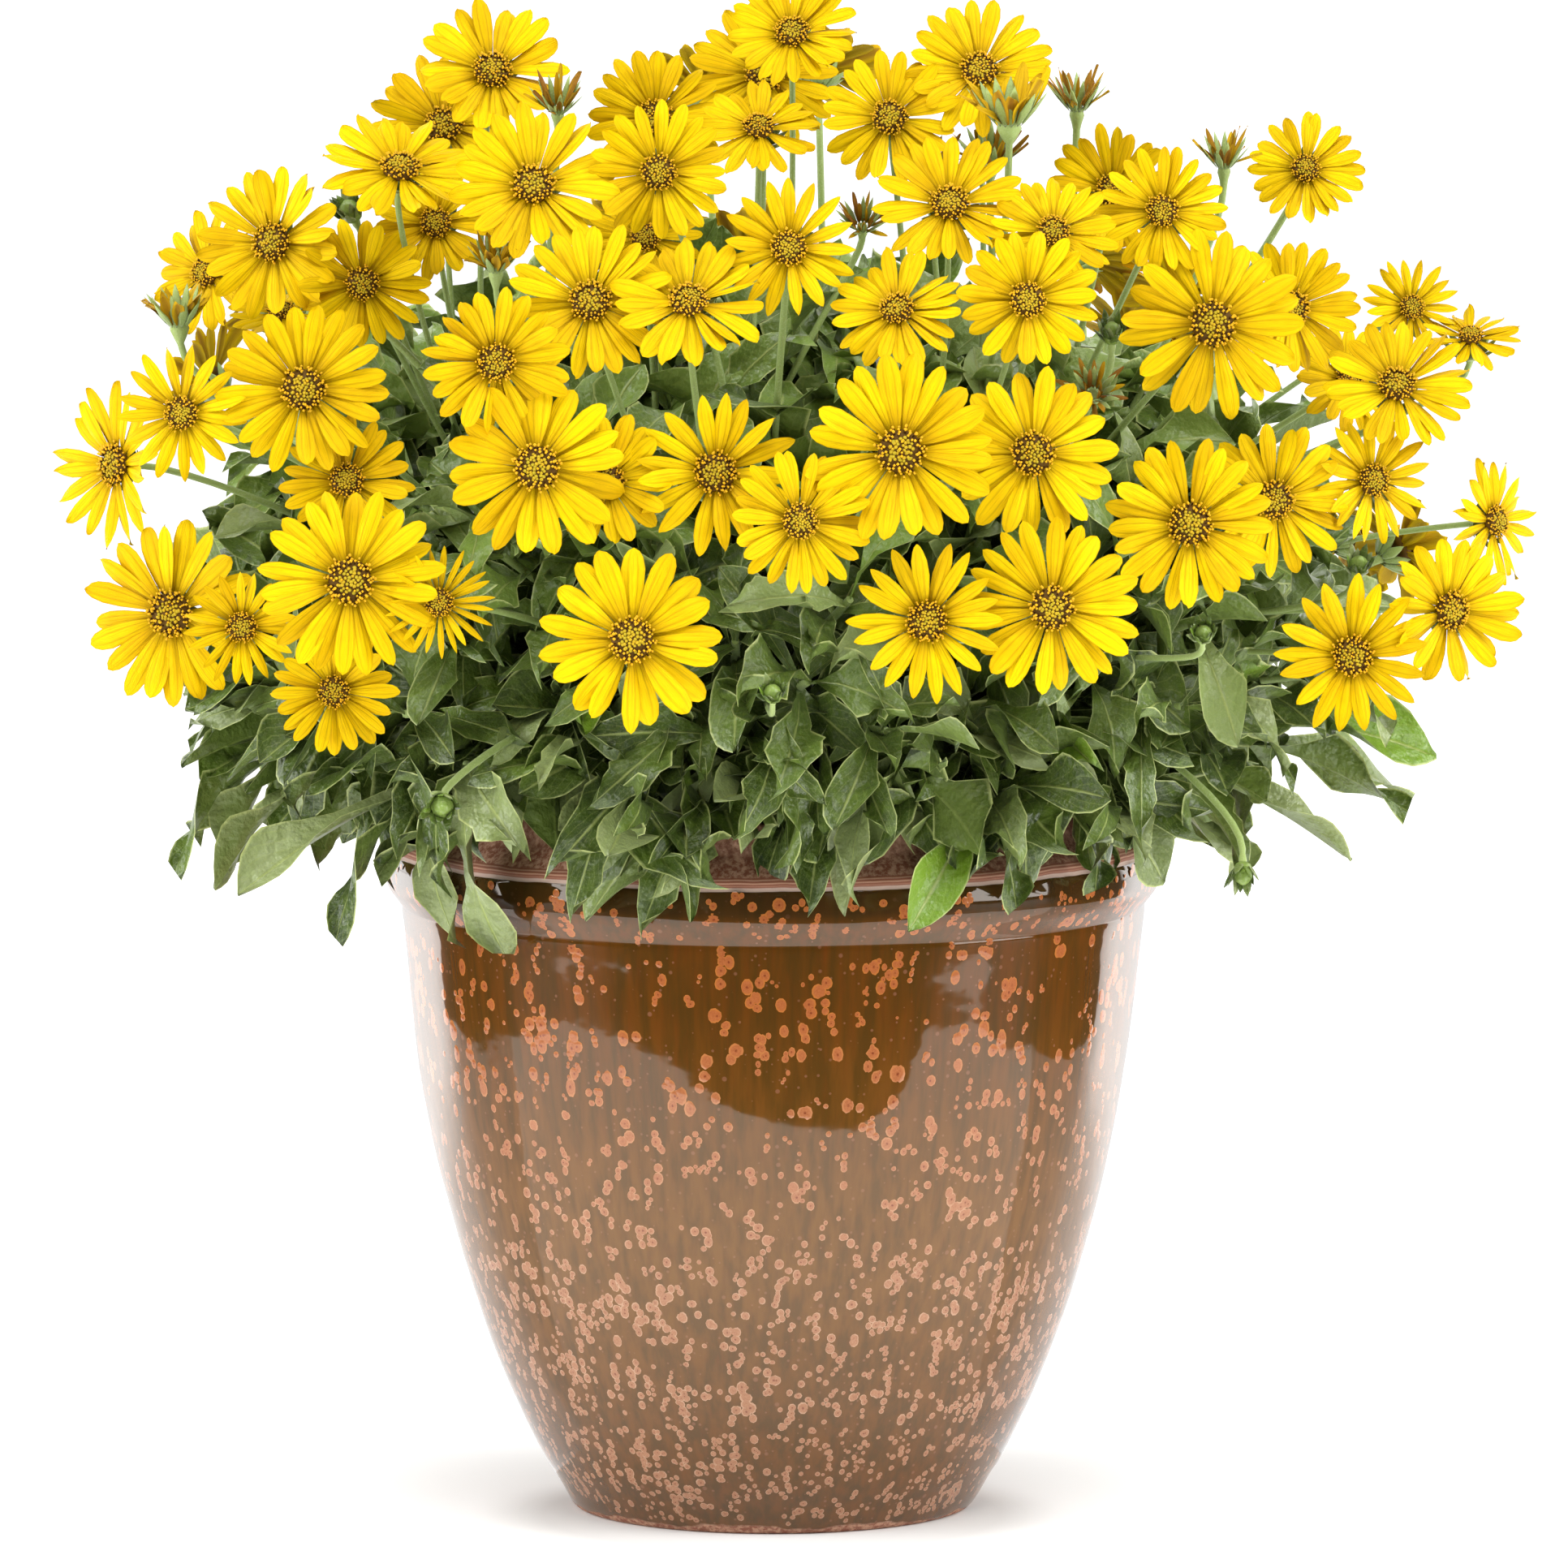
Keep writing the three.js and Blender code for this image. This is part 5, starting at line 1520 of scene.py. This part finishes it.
def growCup(growth, one, radius):
    # green bracts that hold a head from behind
    out = one.out
    right, high = headFrame(out)
    length = cup["depth"] * cup["bractLength"]
    for i, angle in enumerate(steps(cup["bracts"])):
        outward = swung(right, high, angle + one.number)
        root = one.middle + out * (head["seat"] - cup["hold"] * cup["depth"])
        root += outward * cup["bractRoot"] * radius
        lean = cup["leans"][i % 2]
        way = out * lean + outward * (1 - 0.35 * lean)
        tint = noise(one.number, 20 + i)
        width = cup["bractWidth"] * radius
        growth.addItem(root, way, out - outward, length, width, "bract", "stalk", tint)


def growStalk(growth, one, cupRadius, ownHead=None):
    out = one.out
    number = one.number
    places = stalkCurve(one.middle, out, ownHead)
    radius = stalk["radius"] * spread(number, 30, 0.85, 1.15)
    low = head["seat"] - fitGap
    neck = [one.middle + out * (low - depth * cup["depth"]) for depth in stalk["neckDepths"]]
    shares = np.linspace(0, 1, len(places))
    radii = [mix(stalk["foot"] * radius, radius, min(1, 4 * share)) for share in shares]
    radii += [share * cupRadius for share in stalk["neckRadii"]]
    growth.addLine(list(places) + neck, radii, noise(number, 31))
    for i in range(stalk["bareStations"], len(places) - 1):
        step = places[i + 1] - places[i]
        first = unit(np.cross(step, vec(0.3, 0.2, 1)))
        second = unit(np.cross(step, first))
        hairs = int(np.linalg.norm(step) / stalk["hairGap"])
        for k in range(hairs):
            away = swung(first, second, goldenAngle * (k + 7 * i))
            place = places[i] + step * (k + noise(k, i)) / hairs + away * radius * 0.9
            way = away + 0.2 * unit(step)
            growth.addItem(place, way, step, stalk["hairLength"], stalk["hairWidth"], "hair", "stalk", 0.2)


# widths, lengths and roots to the head's radius, but a closed head's bracts to its petals' length
bud = {
    "size": 1.5,
    "bracts": 14,
    "bractRoot": 0.4,
    "bractWidth": 0.4,
    "bractLengths": (1.7, 2.5),
    "bractSpreads": (0.1, 0.6),
}
closedHead = {
    # petals, their length and width, least and most lean, least and most age
    "cup": (16, 1.0, 0.42, 38, 66, 0.1, 0.5),
    "spent": (18, 1.25, 0.27, 25, 88, 0.3, 1.0),
    "root": 0.34,
    "aside": (-0.3, 0.3),
    "twist": (-0.8, 0.8),
    "lengths": (0.7, 1.2),
    "bracts": 13,
    "bractRoot": 0.3,
    "bractWidth": 0.17,
    "bractLength": 0.85,
    "bractSpreads": (0.3, 0.75),
}


def growBud(growth, base, out, radius, index):
    right, high = headFrame(out)
    wide = bud["size"] * radius
    growth.addItem(base, out, high, wide + 2, wide, "bud", "leaf", 0.6, 0.7)
    for i in range(bud["bracts"]):
        outward = swung(right, high, goldenAngle * i)
        root = base + outward * bud["bractRoot"] * radius
        way = out * 0.95 + outward * spread(i, 47, *bud["bractSpreads"])
        length = spread(i, 46, *bud["bractLengths"]) * radius
        width = bud["bractWidth"] * radius
        growth.addItem(root, way, outward, length, width, "bract", "leaf", noise(index, i))


def growClosedHead(growth, base, out, radius, index, kind):
    own = closedHead
    right, high = headFrame(out)
    petals, longer, wide, leastLean, mostLean, leastAge, mostAge = own[kind]
    tall = longer * radius + 3
    for i in range(petals):
        item = index * 30 + i
        outward = swung(right, high, 2 * pi * (i + spread(item, 3, *own["aside"])) / petals)
        lean = radians(spread(item, 5, leastLean, mostLean))
        way = swung(outward, out, lean)
        above = swung(out, -outward, lean) + right * spread(item, 12, *own["twist"])
        root = base + outward * own["root"] * radius
        length = tall * spread(item, 7, *own["lengths"])
        aged = spread(item, 11, leastAge, mostAge)
        width = wide * radius
        tint = noise(item, 10)
        pick = noise(item, 9)
        growth.addItem(root, way, above, length, width, "narrow", "petal", tint, aged, pick)
    length = own["bractLength"] * tall + 2
    width = own["bractWidth"] * radius
    for i, angle in enumerate(steps(own["bracts"])):
        outward = swung(right, high, angle + 0.3)
        root = base - out * 1.5 + outward * own["bractRoot"] * radius
        way = out * 0.85 + outward * spread(i, 48, *own["bractSpreads"])
        growth.addItem(root, way, outward, length, width, "bract", "stalk", noise(index, 40 + i))


def makeLeafyStems():
    growths = [Growth(f"fine_leafy_stem_{i + 1}") for i in range(len(sites))]
    for index, (growth, site) in enumerate(zip(growths, sites)):
        foot, bend = (vec(*(site * share), height) for share, height in (stems["foot"], stems["bend"]))
        line = [foot, mix(foot, bend, 0.5), bend, heartOf(index)]
        growth.addLine(line, stems["radii"], 0.9, stems["alongs"])
    for index, one in enumerate(heads):
        growth = growths[nearestSite(one.middle)]
        growStalk(growth, one, cup["radius"] * cup["neck"], index)
        growCup(growth, one, cup["radius"])
    for index, (across, rise, ahead, radius, turn, tilt, kind) in enumerate(greenHeads):
        one = Record(number=300 + index, middle=onDome(across, rise, ahead), out=facing(turn, tilt))
        growth = growths[nearestSite(one.middle)]
        growStalk(growth, one, cup["closedNeck"] * radius)
        base = one.middle + one.out * (head["seat"] - 1)
        if kind == "bud":
            growBud(growth, base, one.out, radius, index)
        else:
            growClosedHead(growth, base, one.out, radius, index, kind)

    plan = []
    for count, leaves, lowest, draw, least, most in foliage["shells"]:
        plan += [(shellShoot(i, count, lowest, spread(i, draw, least, most)), leaves) for i in range(count)]
    skirt = [skirtShoot(i, foliage["skirt"]) for i in range(foliage["skirt"])]
    plan += [(shoot, foliage["skirtLeaves"]) for shoot in skirt]
    for item, (shoot, leaves) in enumerate(plan):
        growth = growths[shoot.cell]
        line = [mix(shoot.inside, shoot.hub, share) for share in (0, 0.5, 1)]
        growth.addLine(line, stems["branchRadii"], 0.8, stems["branchAlongs"])
        growShootLeaves(growth, shoot, item, leaves)
    for number, (across, rise, reach, half) in enumerate(hangingLeaves):
        tip = onSight(across, rise, reach)
        shoot = min(skirt, key=lambda one: np.linalg.norm(one.hub - tip))
        root = shoot.hub - shoot.along * 2
        above = shoot.axis + 0.8 * up
        length = np.linalg.norm(tip - root)
        addLeaf(growths[shoot.cell], root, tip - root, above, length, 2.1 * half, 5000 + number)
    for index, growth in enumerate(growths):
        piece = growth.grow()
        finishPiece(piece, "foliage", f"leafy_stem_{index + 1}")
        print(growth.name, "triangles", countTriangles(piece))


makeLeafyStems()
print("leafy stems grown")


# radius and height, from the foot up
potShape = {
    "body": [
        (70.5, 0.4), (72.0, 0), (75.0, 2.2), (80.5, 11.5), (85.7, 19.9), (94.6, 38), (102.2, 56.2),
        (108.6, 74), (114.3, 92.4), (119.4, 110.5), (124, 128.7), (127.9, 148), (131.2, 168),
        (133.7, 189), (135.9, 210), (137.3, 222),
    ],
    "rim": [
        (137.3, 224.4), (138.3, 226.2), (140.1, 228.6), (142.0, 231.2), (143.1, 234.2), (143.4, 237.6),
        (143.2, 241.0), (142.6, 244.0), (142.1, 245.2), (141.9, 246.4), (142.1, 247.6), (141.6, 249.2),
        (139.4, 251.6), (136.4, 254.8), (134.6, 257.0), (133.6, 260), (133.1, 264.8), (132.2, 267.4),
        (130.4, 268.4), (127.6, 267.6),
    ],
    "inside": [(125.4, 264.6), (124.6, 258), (124.4, 244), (124, 229)],
    "under": [(9, 14), (9, 4), (46, 4), (48, 0.2), (66, 0.2)],
    "innerWall": [(112, 128.7), (90.5, 56.2), (66, 14)],
    "sides": 144,
    "smoothing": 3,
    "wobble": 0.22,
    # heights between which the wheel marks show
    "marked": (3, 225),
}


def smoothLine(points, count):
    # a rounded line through points
    rounded = []
    for i in range(len(points) - 1):
        before = points[max(i - 1, 0)]
        here = points[i]
        there = points[i + 1]
        after = points[min(i + 2, len(points) - 1)]
        second = 2 * before - 5 * here + 4 * there - after
        third = 3 * here - before - 3 * there + after
        for step in range(count):
            t = step / count
            rounded.append(0.5 * (2 * here + (there - before) * t + second * t * t + third * t ** 3))
    return rounded + [points[-1]]


def wheelWobble(angle, height):
    low, high = potShape["marked"]
    if not low < height < high:
        return 0
    wave = sin(3 * angle + height / 31) + 0.7 * sin(5 * angle - height / 17 + 1.3)
    return potShape["wobble"] * (wave + 0.25 * sin(height / 5.5 + angle))


# raised crystal spots
glazeSpots = {
    # lowest and highest level, clusters, most spots in one, least and most radius, tallest stretch
    "bands": (
        (3, 40, 1120, 2, 0.9, 2.1, 1.1),
        (40, 110, 1800, 2, 1.0, 2.3, 1.15),
        (110, 160, 700, 2, 1.0, 2.5, 1.25),
        (160, 223, 620, 3, 0.9, 3.0, 1.5),
        (224, 243, 380, 3, 1.0, 2.6, 1.2),
    ),
    # how far a spot may pass the top of its band
    "overTop": 3,
    # how clusters and sizes lean to the few and small, and how many spots are stretched
    "crowding": 2.2,
    "smallness": 1.3,
    "sizes": (0.7, 1.1),
    "stretched": 0.6,
    # where the next spot of a cluster lies: degrees, steps to its radius, and how many go down
    "turns": (40, 140),
    "steps": (1.2, 2.1),
    "downward": 0.6,
    "wallRadius": 125,
    # corners of the smallest spot and more by its radius, and two ripples of its edge
    "corners": 7,
    "moreCorners": 1.4,
    "ripples": (0.04, 0.02),
    # how proud of the wall a spot's points stand
    "middle": 0.09,
    "edge": -0.03,
    "under": -0.4,
    # the near value of the glaze between the spots
    "plain": 2.0,
}


def makeSpot(angle, height, radius, stretch, item, wallAt):
    # points and faces of one spot laid on the wall, with how near each point is to the spot's edge
    own = glazeSpots
    corners = own["corners"] + int(own["moreCorners"] * radius)
    first, second = own["ripples"]
    wall, slope = wallAt(angle, height)
    upright = 1 / sqrt(1 + slope * slope)
    places = [(angle, height, own["middle"]), (angle, height, own["under"])]
    faces = []
    for corner, turn in enumerate(steps(corners)):
        away = radius * (1 + first * sin(2 * turn + item) + second * sin(3 * turn + 2 * item))
        beside = angle + away * cos(turn) / wall
        places.append((beside, height + away * stretch * upright * sin(turn), own["edge"]))
        after = (corner + 1) % corners
        faces += [(0, 2 + corner, 2 + after), (1, 2 + after, 2 + corner)]
    points = [roundAxis(wallAt(beside, level)[0] + proud, beside, level) for beside, level, proud in places]
    return points, faces, [0.0] + [1.0] * (corners + 1)


def spotPlaces():
    # clusters and upright chains of touching spots
    own = glazeSpots
    cluster = 0
    for low, high, count, most, least, largest, tall in own["bands"]:
        for _ in range(count):
            cluster += 1
            angle = spread(cluster, 1, -pi, pi)
            height = spread(cluster, 2, low, high)
            members = 1 + int((most + 1) * noise(cluster, 3) ** own["crowding"])
            size = noise(cluster, 4) ** own["smallness"]
            for member in range(members):
                item = cluster * 7 + member
                radius = mix(least, largest, size) * spread(item, 5, *own["sizes"])
                stretch = spread(item, 6, 1.0, tall) if noise(item, 7) < own["stretched"] else 1.0
                reach = radius * stretch
                if low < height - reach and height + reach < high + own["overTop"]:
                    yield angle, height, radius, stretch, item
                turn = radians(spread(item, 8, *own["turns"]))
                turn *= -1 if noise(item, 9) < own["downward"] else 1
                step = radius * spread(item, 10, *own["steps"])
                angle += step * cos(turn) / own["wallRadius"]
                height += step * sin(turn) * stretch


def makePot():
    own = potShape
    corners = [vec(*point) for point in own["body"] + own["rim"] + own["inside"]]
    outer = smoothLine(corners, own["smoothing"])
    top = max(range(len(outer)), key=lambda place: outer[place][0])
    radii, heights = zip(*outer[own["smoothing"] : top + 1])

    def wallAt(angle, height):
        radius = float(np.interp(height, heights, radii))
        slope = float(np.interp(height + 1, heights, radii)) - radius
        return radius + wheelWobble(angle, height), slope

    profile = own["under"] + outer + own["innerWall"]
    sides = own["sides"]
    points = []
    for radius, height in profile:
        for angle in steps(sides):
            wobble = wheelWobble(angle, height) if radius > own["body"][0][0] + 0.1 else 0
            points.append(roundAxis(radius + wobble, angle, height))
    faces = []
    rings = len(profile)
    for ring in range(rings):
        first = ring * sides
        second = (ring + 1) % rings * sides
        for side in range(sides):
            beside = (side + 1) % sides
            faces.append((first + side, first + beside, second + beside, second + side))
    nears = [glazeSpots["plain"]] * len(points)
    tints = [0.5] * len(points)
    count = 0
    for *place, item in spotPlaces():
        count += 1
        first = len(points)
        spotPoints, spotFaces, spotNears = makeSpot(*place, item, wallAt)
        points += spotPoints
        faces += [tuple(first + corner for corner in face) for face in spotFaces]
        nears += spotNears
        tints += [noise(item, 11)] * len(spotPoints)
    piece = makeObject("fine_pot", points, faces, [potFinish], {"near": nears, "tint": tints})
    for edge in piece.data.edges:
        a, b = edge.vertices
        edge.use_edge_sharp = nears[a] == nears[b] == 1.0
    print("spots:", count, "pot triangles:", countTriangles(piece))
    finishPiece(piece, "glazed_pot", "pot")


makePot()
print("pot turned")


soilShape = {
    "radius": 123.4,
    "edge": 231,
    "middle": 235,
    "rings": 34,
    "sides": 96,
    "rough": 1.5,
    "swell": 1.2,
    # radius and height down the pot's inside, and the bottom
    "wall": ((123.5, 229), (111.5, 128.7), (90, 56.4), (65.5, 14.4)),
    "bottom": 14.4,
}


def makeSoil():
    own = soilShape
    sides = own["sides"]
    points = [metres(0, 0, own["middle"])]
    for ring in range(1, own["rings"] + 1):
        share = ring / own["rings"]
        for side, angle in enumerate(steps(sides)):
            lump = own["rough"] * (noise(ring * 131 + side, 1) - 0.5)
            lump += own["swell"] * sin(3 * angle + 7 * share)
            height = mix(own["middle"], own["edge"], share) + lump * (1 - share ** 8)
            points.append(roundAxis(own["radius"] * share, angle, height))
    points += [roundAxis(radius, angle, height) for radius, height in own["wall"] for angle in steps(sides)]
    points.append(metres(0, 0, own["bottom"]))
    last = 1 + (own["rings"] + len(own["wall"]) - 1) * sides
    faces = [(0, 1 + side, 1 + (side + 1) % sides) for side in range(sides)]
    for first in range(1, last, sides):
        for side in range(sides):
            beside = (side + 1) % sides
            faces.append((first + side, first + sides + side, first + sides + beside, first + beside))
    faces += [(last + side, len(points) - 1, last + (side + 1) % sides) for side in range(sides)]
    piece = makeObject("fine_soil", points, faces, [soilFinish])
    finishPiece(piece, "potting_soil", "soil")


makeSoil()
print("soil filled")

for shape in list(shapes.objects):
    bpy.data.objects.remove(shape)
bpy.data.collections.remove(shapes)
